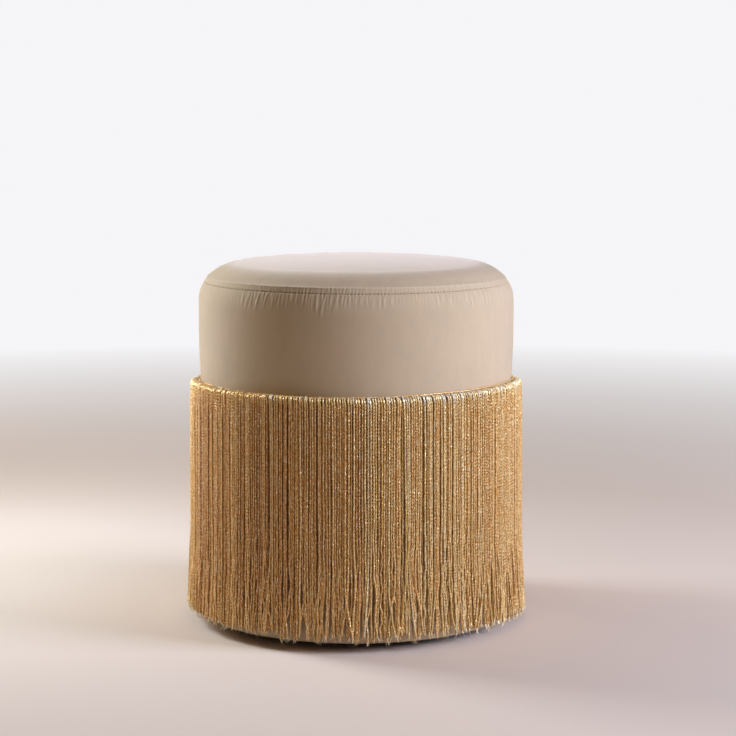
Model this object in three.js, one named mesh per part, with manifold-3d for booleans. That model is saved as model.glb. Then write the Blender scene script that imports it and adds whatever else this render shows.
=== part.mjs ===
// A round upholstered tuffet: a plywood and hardboard drum, padded, covered in velvet, with a cord fringe.
// Millimetres, +Z up. The origin is on the floor, under the middle of the drum.
import * as THREE from "three";
import { mergeVertices } from "three/addons/utils/BufferGeometryUtils.js";
import Module from "manifold-3d";

const wasm = await Module();
wasm.setup();

// Whole object
const coverDiameter = 350; // over the velvet, without the fringe
const overallHeight = 404; // floor to the middle of the seat
const fit = 0.3; // clearance between pieces that touch
const overrun = 2; // how far a cutting tool runs past the face it cuts

// Shape of the seat
const shoulderReach = 45; // how far the rounded shoulder comes in from the side
const shoulderDrop = 43; // how far it falls from the rim of the seat
const domeRise = 6; // middle of the seat above its rim
const seatFlatRadius = 65; // flat middle of the seat
const seatStraightSide = 18; // upright side of the seat pad, under the shoulder
const seamShare = 0.444; // place of the seam on the shoulder's quarter turn, from the side
const sideStepShares = [0, 0.5, 1]; // steps of the shoulder from the side to the seam
const rimStepShares = [0, 0.34, 0.67, 1]; // steps from the seam to the rim of the seat

// Velvet cover and padding
const velvetThickness = 1.5;
const hemRound = 3; // rounded lower edge of the cover
const turnUnderLap = 13; // how far the velvet laps onto the base board
const waddingThickness = 6;
const sideFoamThickness = 8;
const jointWidth = 2; // open butt joint of the shell and of the side foam

// Frame
const shellThickness = 3;
const boardThickness = 12;
const postSection = 30;
const postCount = 4;

// Underside
const dustCoverThickness = 0.8;
const dustCoverInset = 10; // edge of the dust cover, in from the side of the tuffet
const glideHeight = 8;
const glideRadius = 12;
const glideRound = 1.5;
const glideWeb = 5; // glide material between the screw head and the base board
const glideMargin = 3; // from the glide to the edge of the turned-under velvet
const glideCount = 4;
const stapleCrown = 10;
const stapleWire = 0.8;
const stapleLeg = 8;
const stapleCount = 16;

// Screws
const boardScrew = { length: 40, shankRadius: 2, headRadius: 4, headHeight: 2.4, tipLength: 5 };
const glideScrew = { length: 15, shankRadius: 1.6, headRadius: 3.4, headHeight: 1.8, tipLength: 3 };

// Fringe
const fringeLength = 257; // top of the strands to their mean end
const fringeEndHeight = 17; // mean height of the strand ends above the floor
const fringeEndSpread = 6; // how much higher or lower an end may be
const headingHeight = 13;
const headingDrop = 2.5; // top of the heading below the tops of the strands
const headingTapeThickness = 4;
const strandRadius = 2; // from the middle of a strand to its edges
const strandLayerGap = 0.6;
const strandBite = 1; // how far the outer strands are sunk in the heading
const fringeBelly = 0.9; // how far the strands stand out where they begin to spread
const fringeFlare = 4.3; // how far their ends stand out
const spreadStartShare = 0.38; // height at which the strands begin to spread, as a share of their length
const strayShare = 0.34; // sideways stray of an end, as a share of the room between strands
const bendStrayShare = 0.3; // the part of it that shows where the strands begin to spread
const fringeQuarters = ["fringe_front", "fringe_right", "fringe_back", "fringe_left"];
const strandsPerLayer = 38; // in one quarter
const outerPlaceShare = 0.25; // place of an outer strand in its share of the quarter
const innerPlaceShare = 0.75;
const scatterStep = 12.9898; // the scatter of the ends: a fast wave, read at even steps
const scatterScale = 43758.5453;

// Facets
const roundSides = 48; // round the drum
const screwSides = 8;
const glideSides = 12;
const strandSides = 3;
const weldShare = 2e-6; // vertices closer than this share of the height are one

const quarterTurn = Math.PI / 2;
const fullTurn = 2 * Math.PI;
const upward = new THREE.Vector3(0, 0, 1);

// Heights and radii that follow
const coverRadius = coverDiameter / 2;
const seatRimHeight = overallHeight - domeRise;
const shoulderBase = seatRimHeight - shoulderDrop;
const shoulderCentre = coverRadius - shoulderReach;
const rimAngle = quarterTurn - Math.atan2(domeRise, shoulderCentre - seatFlatRadius);
const seamAngle = seamShare * quarterTurn;
const seamHalfGap = Math.atan2(fit / 2, shoulderReach);
const waddingInset = velvetThickness + fit;
const seatFoamInset = waddingInset + waddingThickness + fit;
const sideFoamOuter = coverRadius - velvetThickness - fit;
const sideFoamInner = sideFoamOuter - sideFoamThickness;
const shellOuter = sideFoamInner - fit;
const shellInner = shellOuter - shellThickness;
const boardRadius = shellInner - fit;
const seatBoardTop = shoulderBase - seatStraightSide - fit;
const seatBoardBottom = seatBoardTop - boardThickness;
const baseBoardBottom = glideHeight + fit + dustCoverThickness + fit;
const baseBoardTop = baseBoardBottom + boardThickness;
const turnUnderTop = baseBoardBottom - fit;
const turnUnderBottom = turnUnderTop - velvetThickness;
const turnUnderInner = boardRadius - turnUnderLap;
const postLength = seatBoardBottom - baseBoardTop - 2 * fit;
const postCircle = Math.sqrt(boardRadius ** 2 - (postSection / 2) ** 2) - postSection / 2;
const glideCircle = turnUnderInner - glideMargin - glideRadius;
const glideHeadHeight = glideHeight - glideWeb;
const dustRimTop = turnUnderBottom - fit;
const dustRimBottom = dustRimTop - dustCoverThickness;
const stapleCircle = (turnUnderInner + boardRadius) / 2;
const stapleBottom = dustRimBottom - fit - stapleWire;
const strandTop = fringeEndHeight + fringeLength;
const headingTop = strandTop - headingDrop;
const headingInner = coverRadius + fit;
const innerStrandCircle = headingInner + headingTapeThickness + strandRadius / 2;
const strandDepth = 1.5 * strandRadius; // of a three-sided strand, from its flat back to its edge
const outerStrandCircle = innerStrandCircle + strandDepth + strandLayerGap;
const headingOuter = outerStrandCircle - strandRadius / 2 + strandBite;

const finishes = {
  velvet: new THREE.MeshStandardMaterial({ color: 0xd2bba5, roughness: 0.85, metalness: 0 }),
  goldCord: new THREE.MeshStandardMaterial({ color: 0xc79f5f, roughness: 0.45, metalness: 0.6 }),
  foam: new THREE.MeshStandardMaterial({ color: 0xe9e0c4, roughness: 1, metalness: 0 }),
  wadding: new THREE.MeshStandardMaterial({ color: 0xf4f2ec, roughness: 1, metalness: 0 }),
  plywood: new THREE.MeshStandardMaterial({ color: 0xc9a673, roughness: 0.7, metalness: 0 }),
  hardboard: new THREE.MeshStandardMaterial({ color: 0x7d5a3a, roughness: 0.8, metalness: 0 }),
  pine: new THREE.MeshStandardMaterial({ color: 0xd9b98a, roughness: 0.75, metalness: 0 }),
  blackCloth: new THREE.MeshStandardMaterial({ color: 0x24211f, roughness: 1, metalness: 0 }),
  blackPlastic: new THREE.MeshStandardMaterial({ color: 0x2b2826, roughness: 0.5, metalness: 0 }),
  zincSteel: new THREE.MeshStandardMaterial({ color: 0xb9b9b4, roughness: 0.35, metalness: 1 }),
};

const tuffet = new THREE.Group();

// A sub-assembly of the tuffet.
function newGroup() {
  const group = new THREE.Group();
  tuffet.add(group);
  return group;
}

// Adds a named mesh to a group.
function addPiece(group, name, geometry, finish) {
  const piece = new THREE.Mesh(geometry, finish);
  piece.name = name;
  group.add(piece);
  return piece;
}

// Turns a closed outline of [radius, height] points about the Z axis.
function turned(outline, sides = roundSides) {
  const points = outline.map(([radius, height]) => new THREE.Vector2(radius, height));
  return new THREE.LatheGeometry(points, sides).rotateX(quarterTurn);
}

function closedOutline(outline) {
  return [...outline, outline[0]];
}

function solidOf(geometry) {
  const triangles = geometry.index ? geometry.toNonIndexed() : geometry;
  const plain = new THREE.BufferGeometry();
  plain.setAttribute("position", triangles.getAttribute("position"));
  const welded = mergeVertices(plain, weldShare * overallHeight);
  const mesh = new wasm.Mesh({
    numProp: 3,
    vertProperties: welded.attributes.position.array,
    triVerts: new Uint32Array(welded.index.array),
  });
  return new wasm.Manifold(mesh);
}

function geometryOf(solid) {
  const { vertProperties, triVerts } = solid.getMesh();
  const geometry = new THREE.BufferGeometry();
  geometry.setAttribute("position", new THREE.BufferAttribute(vertProperties, 3));
  geometry.setIndex(new THREE.BufferAttribute(triVerts, 1));
  return geometry;
}

// One geometry less each of the tool geometries.
function cut(geometry, tools) {
  const solid = tools.reduce((rest, tool) => rest.subtract(solidOf(tool)), solidOf(geometry));
  return geometryOf(solid);
}

// Places on a circle, the first one a share of the spacing past +X.
function placesRound(radius, count, startShare) {
  return Array.from({ length: count }, (_, index) => {
    const angle = ((index + startShare) / count) * fullTurn;
    return { angle, x: radius * Math.cos(angle), y: radius * Math.sin(angle) };
  });
}

// Outline of the seat, a given depth under the face of the cover, from one shoulder angle to another.
function shoulderPoint(angle, depth) {
  const radius = shoulderCentre + (shoulderReach - depth) * Math.cos(angle);
  const height = shoulderBase + (shoulderDrop - depth) * Math.sin(angle);
  return [radius, height];
}

function sideStretch(depth, endAngle) {
  return sideStepShares.map((share) => shoulderPoint(share * endAngle, depth));
}

function rimStretch(depth, startAngle) {
  return rimStepShares.map((share) => {
    const angle = startAngle + share * (rimAngle - startAngle);
    return shoulderPoint(angle, depth);
  });
}

function seatTop(depth) {
  const height = overallHeight - depth;
  return [[seatFlatRadius, height], [0, height]];
}

function wholeShoulder(depth) {
  return [...sideStretch(depth, seamAngle), ...rimStretch(depth, seamAngle).slice(1)];
}

// The open butt joint of a sheet that is bent into a ring, at the back.
function jointTool(innerRadius, outerRadius, bottom, top) {
  const depth = outerRadius - innerRadius + 2 * overrun;
  const tool = new THREE.BoxGeometry(jointWidth, depth, top - bottom + 2 * overrun);
  return tool.translate(0, (innerRadius + outerRadius) / 2, (bottom + top) / 2);
}

function openRing(innerRadius, outerRadius, bottom, top) {
  const ring = turned(
    closedOutline([
      [innerRadius, bottom],
      [outerRadius, bottom],
      [outerRadius, top],
      [innerRadius, top],
    ]),
  );
  return cut(ring, [jointTool(innerRadius, outerRadius, bottom, top)]);
}

// A countersunk screw that points down from the flat of its head, or the tool that makes room for it.
function screwShape(screw, grow = 0, headOverrun = 0) {
  const head = screw.headRadius + grow;
  const shank = screw.shankRadius + grow;
  return turned(
    [
      [0, -screw.length - grow],
      [shank, screw.tipLength - screw.length],
      [shank, -screw.headHeight],
      [head, 0],
      ...(headOverrun ? [[head, headOverrun]] : []),
      [0, headOverrun],
    ],
    screwSides,
  );
}

function screwTool(screw, place, height, pointsUp) {
  const tool = screwShape(screw, fit, overrun);
  if (pointsUp) tool.rotateX(Math.PI);
  return tool.translate(place.x, place.y, height);
}

function addScrews(group, name, screw, places, height, pointsUp) {
  places.forEach((place, index) => {
    const piece = addPiece(group, `${name}_${index + 1}`, screwShape(screw), finishes.zincSteel);
    piece.position.set(place.x, place.y, height);
    piece.rotation.x = pointsUp ? Math.PI : 0;
  });
}

const postPlaces = placesRound(postCircle, postCount, 0);
const glidePlaces = placesRound(glideCircle, glideCount, 0.5);
const staplePlaces = placesRound(stapleCircle, stapleCount, 0.5);

// The holes for the legs of the staples, through the dust cover and the velvet into the base board.
function stapleLegTools() {
  const side = stapleWire + 2 * fit;
  const length = stapleLeg + fit + overrun;
  const reach = (stapleCrown - stapleWire) / 2;
  return staplePlaces.flatMap(({ angle }) =>
    [-reach, reach].map((offset) =>
      new THREE.BoxGeometry(side, side, length)
        .translate(stapleCircle, offset, stapleBottom + stapleLeg + fit - length / 2)
        .rotateZ(angle),
    ),
  );
}

const legTools = stapleLegTools();
const glideScrewTools = glidePlaces.map((place) => screwTool(glideScrew, place, glideHeadHeight, true));

function addBoards() {
  const boards = newGroup();
  const disc = (bottom) =>
    turned([
      [0, bottom],
      [boardRadius, bottom],
      [boardRadius, bottom + boardThickness],
      [0, bottom + boardThickness],
    ]);
  const baseScrewTools = postPlaces.map((place) => screwTool(boardScrew, place, baseBoardBottom, true));
  const seatScrewTools = postPlaces.map((place) => screwTool(boardScrew, place, seatBoardTop, false));
  const base = cut(disc(baseBoardBottom), [...baseScrewTools, ...glideScrewTools, ...legTools]);
  addPiece(boards, "base_board", base, finishes.plywood);
  addPiece(boards, "seat_board", cut(disc(seatBoardBottom), seatScrewTools), finishes.plywood);
  addScrews(boards, "base_screw", boardScrew, postPlaces, baseBoardBottom, true);
  addScrews(boards, "seat_screw", boardScrew, postPlaces, seatBoardTop, false);
}

function addPosts() {
  const posts = newGroup();
  const middle = (baseBoardTop + seatBoardBottom) / 2;
  const origin = { x: 0, y: 0 };
  const block = new THREE.BoxGeometry(postSection, postSection, postLength);
  const post = cut(block, [
    screwTool(boardScrew, origin, baseBoardBottom - middle, true),
    screwTool(boardScrew, origin, seatBoardTop - middle, false),
  ]);
  postPlaces.forEach((place, index) => {
    const piece = addPiece(posts, `post_${index + 1}`, post, finishes.pine);
    piece.position.set(place.x, place.y, middle);
  });
}

function addShell() {
  const shell = openRing(shellInner, shellOuter, baseBoardBottom, seatBoardTop);
  addPiece(newGroup(), "shell_wall", shell, finishes.hardboard);
}

function addPadding() {
  const padding = newGroup();
  const sideFoam = openRing(sideFoamInner, sideFoamOuter, baseBoardBottom, seatBoardTop);
  addPiece(padding, "side_foam", sideFoam, finishes.foam);

  const padBottom = seatBoardTop + fit;
  const foamOutline = [
    [0, padBottom],
    [coverRadius - seatFoamInset, padBottom],
    ...wholeShoulder(seatFoamInset),
    ...seatTop(seatFoamInset),
  ];
  addPiece(padding, "seat_foam", turned(foamOutline), finishes.foam);

  const waddingInner = waddingInset + waddingThickness;
  const waddingOutline = [
    [coverRadius - waddingInner, padBottom],
    [coverRadius - waddingInset, padBottom],
    ...wholeShoulder(waddingInset),
    ...seatTop(waddingInset),
    ...seatTop(waddingInner).reverse(),
    ...wholeShoulder(waddingInner).reverse(),
  ];
  addPiece(padding, "seat_wadding", turned(closedOutline(waddingOutline)), finishes.wadding);
}

function addCover() {
  const cover = newGroup();
  const panelEdge = seamAngle + seamHalfGap;
  const panelOutline = [
    ...rimStretch(0, panelEdge),
    ...seatTop(0),
    ...seatTop(velvetThickness).reverse(),
    ...rimStretch(velvetThickness, panelEdge).reverse(),
  ];
  addPiece(cover, "top_panel", turned(closedOutline(panelOutline)), finishes.velvet);

  const bandEdge = seamAngle - seamHalfGap;
  const bandOutline = [
    [turnUnderInner, turnUnderBottom],
    [coverRadius - hemRound, turnUnderBottom],
    [coverRadius, turnUnderBottom + hemRound],
    ...sideStretch(0, bandEdge),
    ...sideStretch(velvetThickness, bandEdge).reverse(),
    [coverRadius - velvetThickness, turnUnderTop],
    [turnUnderInner, turnUnderTop],
  ];
  const band = turned(closedOutline(bandOutline));
  addPiece(cover, "side_band", cut(band, legTools), finishes.velvet);
}

function addUnderside() {
  const underside = newGroup();
  const centreBottom = turnUnderTop - dustCoverThickness;
  const stepOuter = turnUnderInner - fit;
  const stepInner = stepOuter - dustCoverThickness;
  const rimOuter = coverRadius - dustCoverInset;
  const dustCover = turned([
    [0, centreBottom],
    [stepInner, centreBottom],
    [stepInner, dustRimBottom],
    [rimOuter, dustRimBottom],
    [rimOuter, dustRimTop],
    [stepOuter, dustRimTop],
    [stepOuter, turnUnderTop],
    [0, turnUnderTop],
  ]);
  const pierced = cut(dustCover, [...glideScrewTools, ...legTools]);
  addPiece(underside, "dust_cover", pierced, finishes.blackCloth);

  const bore = glideScrew.shankRadius + fit;
  const headBore = glideScrew.headRadius + fit;
  const glide = turned(
    closedOutline([
      [headBore, 0],
      [glideRadius - glideRound, 0],
      [glideRadius, glideRound],
      [glideRadius, glideHeight],
      [bore, glideHeight],
      [bore, glideHeadHeight + glideScrew.headHeight],
      [headBore, glideHeadHeight],
    ]),
    glideSides,
  );
  glidePlaces.forEach((place, index) => {
    const piece = addPiece(underside, `glide_${index + 1}`, glide, finishes.blackPlastic);
    piece.position.set(place.x, place.y, 0);
  });
  addScrews(underside, "glide_screw", glideScrew, glidePlaces, glideHeadHeight, true);
}

function addStaples() {
  const staples = newGroup();
  const half = stapleCrown / 2;
  const legInside = half - stapleWire;
  const outline = new THREE.Shape([
    new THREE.Vector2(-half, 0),
    new THREE.Vector2(half, 0),
    new THREE.Vector2(half, stapleLeg),
    new THREE.Vector2(legInside, stapleLeg),
    new THREE.Vector2(legInside, stapleWire),
    new THREE.Vector2(-legInside, stapleWire),
    new THREE.Vector2(-legInside, stapleLeg),
    new THREE.Vector2(-half, stapleLeg),
  ]);
  const staple = new THREE.ExtrudeGeometry(outline, { depth: stapleWire, bevelEnabled: false })
    .translate(0, 0, -stapleWire / 2)
    .rotateX(quarterTurn);
  staplePlaces.forEach((place, index) => {
    const piece = addPiece(staples, `staple_${index + 1}`, staple, finishes.zincSteel);
    piece.position.set(place.x, place.y, stapleBottom);
    piece.rotation.z = place.angle + quarterTurn;
  });
}

// A number from 0 to 1 that looks random and is the same on every run.
function scattered(index) {
  const wave = Math.sin(index * scatterStep) * scatterScale;
  return wave - Math.floor(wave);
}

// The middles of one strand at its top, where it begins to spread, and at its end.
function strandMiddles(angle, circle, top, seed) {
  const strandWidth = Math.sqrt(strandSides) * strandRadius;
  const room = (circle * quarterTurn) / strandsPerLayer - strandWidth;
  const stray = (2 * scattered(seed) - 1) * strayShare * room;
  const bendHeight = fringeEndHeight + spreadStartShare * fringeLength;
  const end = fringeEndHeight + (2 * scattered(seed + 0.5) - 1) * fringeEndSpread;
  const spread = (bendHeight - end) / (bendHeight - fringeEndHeight);
  const endRadius = circle + fringeBelly + spread * (fringeFlare - fringeBelly);
  const middle = (radius, sideways, height) =>
    new THREE.Vector3(radius, sideways, height).applyAxisAngle(upward, angle);
  return [
    middle(circle, 0, top),
    middle(circle + fringeBelly, bendStrayShare * stray, bendHeight),
    middle(endRadius, stray, end),
  ];
}

// Adds the triangles of one strand, from its top ring down, one edge facing straight out.
function addStrand(positions, middles, angle) {
  const rings = middles.map((middle) =>
    Array.from({ length: strandSides }, (_, corner) => {
      const turn = angle + (corner / strandSides) * fullTurn;
      const out = new THREE.Vector3(Math.cos(turn), Math.sin(turn), 0);
      return out.multiplyScalar(strandRadius).add(middle);
    }),
  );
  const face = (...corners) => corners.forEach((corner) => positions.push(corner.x, corner.y, corner.z));
  face(...rings[0]);
  face(...[...rings.at(-1)].reverse());
  for (let level = 1; level < rings.length; level++) {
    for (let corner = 0; corner < strandSides; corner++) {
      const next = (corner + 1) % strandSides;
      const [upper, lower] = [rings[level - 1], rings[level]];
      face(upper[corner], lower[corner], upper[next]);
      face(upper[next], lower[corner], lower[next]);
    }
  }
}

function strandsOf(startAngle, firstSeed) {
  const positions = [];
  const step = quarterTurn / strandsPerLayer;
  const innerTop = headingTop - headingHeight / 2;
  for (let index = 0; index < strandsPerLayer; index++) {
    const seed = firstSeed + 2 * index;
    const outerAngle = startAngle + (index + outerPlaceShare) * step;
    const innerAngle = startAngle + (index + innerPlaceShare) * step;
    addStrand(positions, strandMiddles(outerAngle, outerStrandCircle, strandTop, seed), outerAngle);
    addStrand(positions, strandMiddles(innerAngle, innerStrandCircle, innerTop, seed + 1), innerAngle);
  }
  const geometry = new THREE.BufferGeometry();
  return geometry.setAttribute("position", new THREE.Float32BufferAttribute(positions, 3));
}

// A quarter of the heading: the band of tape and folded cord that carries the strands.
function headingOf(startAngle) {
  const facets = roundSides / fringeQuarters.length;
  const arc = (radius) =>
    Array.from({ length: facets + 1 }, (_, index) => {
      const inset = index === 0 ? fit / 2 : index === facets ? -fit / 2 : 0;
      const angle = startAngle + (index / facets) * quarterTurn + inset / radius;
      return new THREE.Vector2(radius * Math.cos(angle), radius * Math.sin(angle));
    });
  const outline = new THREE.Shape([...arc(headingOuter), ...arc(headingInner).reverse()]);
  const heading = new THREE.ExtrudeGeometry(outline, { depth: headingHeight, bevelEnabled: false });
  return heading.translate(0, 0, headingTop - headingHeight);
}

function addFringe() {
  const fringe = newGroup();
  fringeQuarters.forEach((name, index) => {
    const startAngle = (index - 1.5) * quarterTurn;
    const strands = strandsOf(startAngle, 2 * strandsPerLayer * index);
    const quarter = solidOf(headingOf(startAngle)).add(solidOf(strands));
    addPiece(fringe, name, geometryOf(quarter), finishes.goldCord);
  });
}

addBoards();
addPosts();
addShell();
addPadding();
addCover();
addUnderside();
addStaples();
addFringe();

export default tuffet;
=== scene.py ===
"""Dresses the fringed velvet tuffet: its cover and stitching, padding, drum, underside and gold fringe."""
import logging
import math
from dataclasses import dataclass
from enum import Enum
from functools import cache
from typing import Iterator, Sequence

import bpy
import numpy as np
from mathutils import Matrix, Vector


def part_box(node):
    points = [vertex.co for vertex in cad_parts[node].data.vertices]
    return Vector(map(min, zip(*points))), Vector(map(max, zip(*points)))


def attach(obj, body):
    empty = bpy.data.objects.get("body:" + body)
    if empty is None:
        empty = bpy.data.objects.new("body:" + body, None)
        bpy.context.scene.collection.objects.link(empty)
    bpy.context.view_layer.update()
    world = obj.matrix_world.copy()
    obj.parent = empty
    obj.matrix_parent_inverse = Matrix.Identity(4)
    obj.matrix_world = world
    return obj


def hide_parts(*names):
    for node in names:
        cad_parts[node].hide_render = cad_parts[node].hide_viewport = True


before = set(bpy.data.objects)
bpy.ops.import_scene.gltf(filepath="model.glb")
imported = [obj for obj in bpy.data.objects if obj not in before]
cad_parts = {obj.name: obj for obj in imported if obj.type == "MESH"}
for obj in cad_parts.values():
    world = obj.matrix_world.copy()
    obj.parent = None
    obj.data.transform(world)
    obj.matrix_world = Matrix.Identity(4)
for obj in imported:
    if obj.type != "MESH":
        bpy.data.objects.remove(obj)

log = logging.getLogger("tuffet")

MM = 0.001
FULL_TURN = 2 * math.pi
QUARTER_TURN = math.pi / 2
BACK = QUARTER_TURN
FRONT = -QUARTER_TURN
BODY = "root"
BAKE_MAP = "OFBake"
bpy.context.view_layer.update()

Array = np.ndarray
Material = bpy.types.Material
Object = bpy.types.Object
Socket = bpy.types.NodeSocket
Colour = tuple[float, float, float]
Stretch = tuple[float, float, float]
Span = tuple[float, float]
Stops = Sequence[tuple[float, Colour]]
Feed = Socket | float | tuple[float, ...]

FULL_SPAN: Span = (0.0, 1.0)
NOISE_SPAN: Span = (0.3, 0.7)
EVEN: Stretch = (1, 1, 1)

# Where a row of rings starts and ends, and how many they are.
Rings = tuple[float, float, int]

# Numbers of the sockets of the node that mixes colours, because their names aren't unique.
MIX_FACTOR = 0
MIX_FIRST = 6
MIX_SECOND = 7
MIX_RESULT = 2


class Slot(Enum):
    """Material slots of the record, named by the finishes that have one."""

    VELVET = "velvet"
    GOLD_CORD = "gold_cord"
    FOAM = "foam"
    WADDING = "wadding"
    BLACK_CLOTH = "black_cloth"


class Layer(Enum):
    """Which layer of the fringe a cord hangs in."""

    OUTER = "outer"
    INNER = "inner"


def linear(red: int, green: int, blue: int) -> Colour:
    """Turns a colour as seen on screen, 0 to 255, into the linear values that shaders take.

    Args:
        red: Red as seen on screen.
        green: Green as seen on screen.
        blue: Blue as seen on screen.

    Returns:
        The linear red, green and blue.
    """
    shares = [value / 255 for value in (red, green, blue)]
    return tuple(s / 12.92 if s <= 0.04045 else ((s + 0.055) / 1.055) ** 2.4 for s in shares)


def opaque(value: Feed) -> Feed:
    """A bare colour with its opacity added, and anything else as it is."""
    return (*value, 1.0) if isinstance(value, tuple) and len(value) == 3 else value


def smooth_step(share: Array) -> Array:
    """Eases from 0 to 1 as share goes from 0 to 1, and stays level outside."""
    inside = np.clip(share, 0.0, 1.0)
    return inside * inside * (3 - 2 * inside)


def hump(distance: Array, width: float) -> Array:
    """A round hump, 1 in its middle, that is nearly gone at twice its width."""
    return np.exp(-((distance / width) ** 2))


def turn_between(angles: Array, middle: Array | float) -> Array:
    """The shorter way round from middle to each angle, signed, in radians."""
    return (angles - middle + math.pi) % FULL_TURN - math.pi


def round_angles(columns: int) -> Array:
    """Angles of evenly spaced columns round an axis."""
    return np.arange(columns) / columns * FULL_TURN


@dataclass(frozen=True)
class Place:
    """A place round the tuffet where something is stronger; its angle and reach are in degrees."""

    angle: float
    reach: float
    size: float = 1.0

    def at(self, angles: Array | float) -> Array:
        """How strong it is at each angle, given in radians."""
        return self.size * hump(turn_between(angles, math.radians(self.angle)), math.radians(self.reach))


def turned_points(place: Array, angles: Array) -> Array:
    """Points on a ring or rings, given as (radius, height) for each angle."""
    radius, height, angle = np.broadcast_arrays(place[..., 0], place[..., 1], angles)
    return np.stack([radius * np.cos(angle), radius * np.sin(angle), height], -1)


def put_in_scene(name: str, data: bpy.types.ID) -> Object:
    """Makes an object of a mesh, lamp or camera and links it into the scene.

    Args:
        name: Name of the object.
        data: What it shows.

    Returns:
        The object.
    """
    made = bpy.data.objects.new(name, data)
    bpy.context.scene.collection.objects.link(made)
    return made


class Recipe:
    """A material while it is put together: one Principled shader and the nodes that feed it."""

    def __init__(self, name: str) -> None:
        """Makes an empty material.

        Args:
            name: Name of the material.
        """
        self.material = bpy.data.materials.new(name)
        self.material.use_nodes = True
        self.tree = self.material.node_tree
        self.shader = self.tree.nodes["Principled BSDF"]

    def node(
        self, kind: str, sockets: dict[str | int, Feed] | None = None, **settings: str
    ) -> bpy.types.Node:
        """Adds a node.

        Args:
            kind: Blender's name of the node type.
            sockets: Values or links for its inputs, by name or number.
            **settings: Properties of the node.

        Returns:
            The node.
        """
        made = self.tree.nodes.new(kind)
        for key, value in settings.items():
            setattr(made, key, value)
        for key, value in (sockets or {}).items():
            self.feed(made.inputs[key], value)
        return made

    def feed(self, socket: Socket, value: Feed) -> None:
        """Links a socket to another one, or sets its value.

        Args:
            socket: The socket to feed.
            value: A socket or a plain value.
        """
        if isinstance(value, Socket):
            self.tree.links.new(value, socket)
        else:
            socket.default_value = value

    def set(self, **inputs: Feed) -> None:
        """Sets or links inputs of the shader, by their names with underscores for spaces."""
        for key, value in inputs.items():
            self.feed(self.shader.inputs[key.replace("_", " ")], opaque(value))

    def place(self, stretch: Stretch = EVEN) -> Socket:
        """Where a point lies on the object, in metres, stretched along X, Y and Z."""
        coordinates = self.node("ShaderNodeTexCoord").outputs["Object"]
        return self.node("ShaderNodeMapping", {"Vector": coordinates, "Scale": stretch}).outputs["Vector"]

    def noise(
        self, size: float, detail: float = 2.0, stretch: Stretch = EVEN, distortion: float = 0.0
    ) -> Socket:
        """Cloudy noise.

        Args:
            size: Size of its patches, in metres.
            detail: How many finer octaves are added.
            stretch: Factors along X, Y and Z.
            distortion: How much the patches are bent.

        Returns:
            The socket of its value.
        """
        inputs = {
            "Vector": self.place(stretch),
            "Scale": 1 / size,
            "Detail": detail,
            "Distortion": distortion,
        }
        return self.node("ShaderNodeTexNoise", inputs).outputs["Fac"]

    def cells(self, size: float, stretch: Stretch, output: str = "Color") -> Socket:
        """Cells with a random colour each, or the distance to their middles.

        Args:
            size: Size of the cells, in metres.
            stretch: Factors along X, Y and Z.
            output: Color or Distance.

        Returns:
            The socket of the chosen output.
        """
        inputs = {"Vector": self.place(stretch), "Scale": 1 / size}
        return self.node("ShaderNodeTexVoronoi", inputs).outputs[output]

    def attribute(self, name: str) -> Socket:
        """The value that the mesh stores under a name at each point."""
        return self.node("ShaderNodeAttribute", attribute_name=name).outputs["Fac"]

    def ramp(self, factor: Socket, stops: Stops) -> Socket:
        """Turns a value into a colour.

        Args:
            factor: The value.
            stops: Places from 0 to 1 with their colours.

        Returns:
            The socket of the colour.
        """
        made = self.node("ShaderNodeValToRGB", {"Fac": factor})
        elements = made.color_ramp.elements
        while len(elements) < len(stops):
            elements.new(0.5)
        for element, (where, colour) in zip(elements, stops):
            element.position = where
            element.color = opaque(colour)
        return made.outputs["Color"]

    def levels(self, factor: Socket, to: Span = FULL_SPAN, span: Span = FULL_SPAN) -> Socket:
        """Maps a value from one span to another, clamped.

        Args:
            factor: The value.
            to: Results at the start and the end of the span.
            span: The values that give them.

        Returns:
            The socket of the result.
        """
        names = "Value", "From Min", "From Max", "To Min", "To Max"
        inputs = dict(zip(names, (factor, *span, *to)))
        return self.node("ShaderNodeMapRange", inputs).outputs["Result"]

    def mix(self, factor: Feed, first: Feed, second: Feed, blend: str = "MIX") -> Socket:
        """Mixes two colours.

        Args:
            factor: Share of the second one.
            first: Colour or socket.
            second: Colour or socket.
            blend: Blender's name of the way to mix.

        Returns:
            The socket of the mixed colour.
        """
        inputs = {MIX_FACTOR: factor, MIX_FIRST: opaque(first), MIX_SECOND: opaque(second)}
        return self.node("ShaderNodeMix", inputs, data_type="RGBA", blend_type=blend).outputs[MIX_RESULT]

    def shaded(self, colour: Feed, tones: Feed) -> Socket:
        """A colour multiplied by tones."""
        return self.mix(1.0, colour, tones, "MULTIPLY")

    def math(self, operation: str, first: Feed, second: Feed) -> Socket:
        """The result of an operation on two values."""
        return self.node("ShaderNodeMath", {0: first, 1: second}, operation=operation).outputs[0]

    def vector(self, operation: str, sockets: dict[str | int, Feed]) -> Socket:
        """The result of an operation on vectors."""
        return self.node("ShaderNodeVectorMath", sockets, operation=operation).outputs[0]

    def tilted(self, directions: Socket, amount: float) -> Socket:
        """The surface's direction, tilted a different way in each cell.

        Args:
            directions: A random colour for each cell.
            amount: How far it tilts, as a share of the direction's own length.

        Returns:
            The socket of the tilted direction.
        """
        centred = self.vector("SUBTRACT", {0: directions, 1: (0.5, 0.5, 0.5)})
        tilt = self.vector("SCALE", {0: centred, "Scale": amount})
        own = self.node("ShaderNodeNewGeometry").outputs["Normal"]
        return self.vector("NORMALIZE", {0: self.vector("ADD", {0: own, 1: tilt})})

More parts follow.
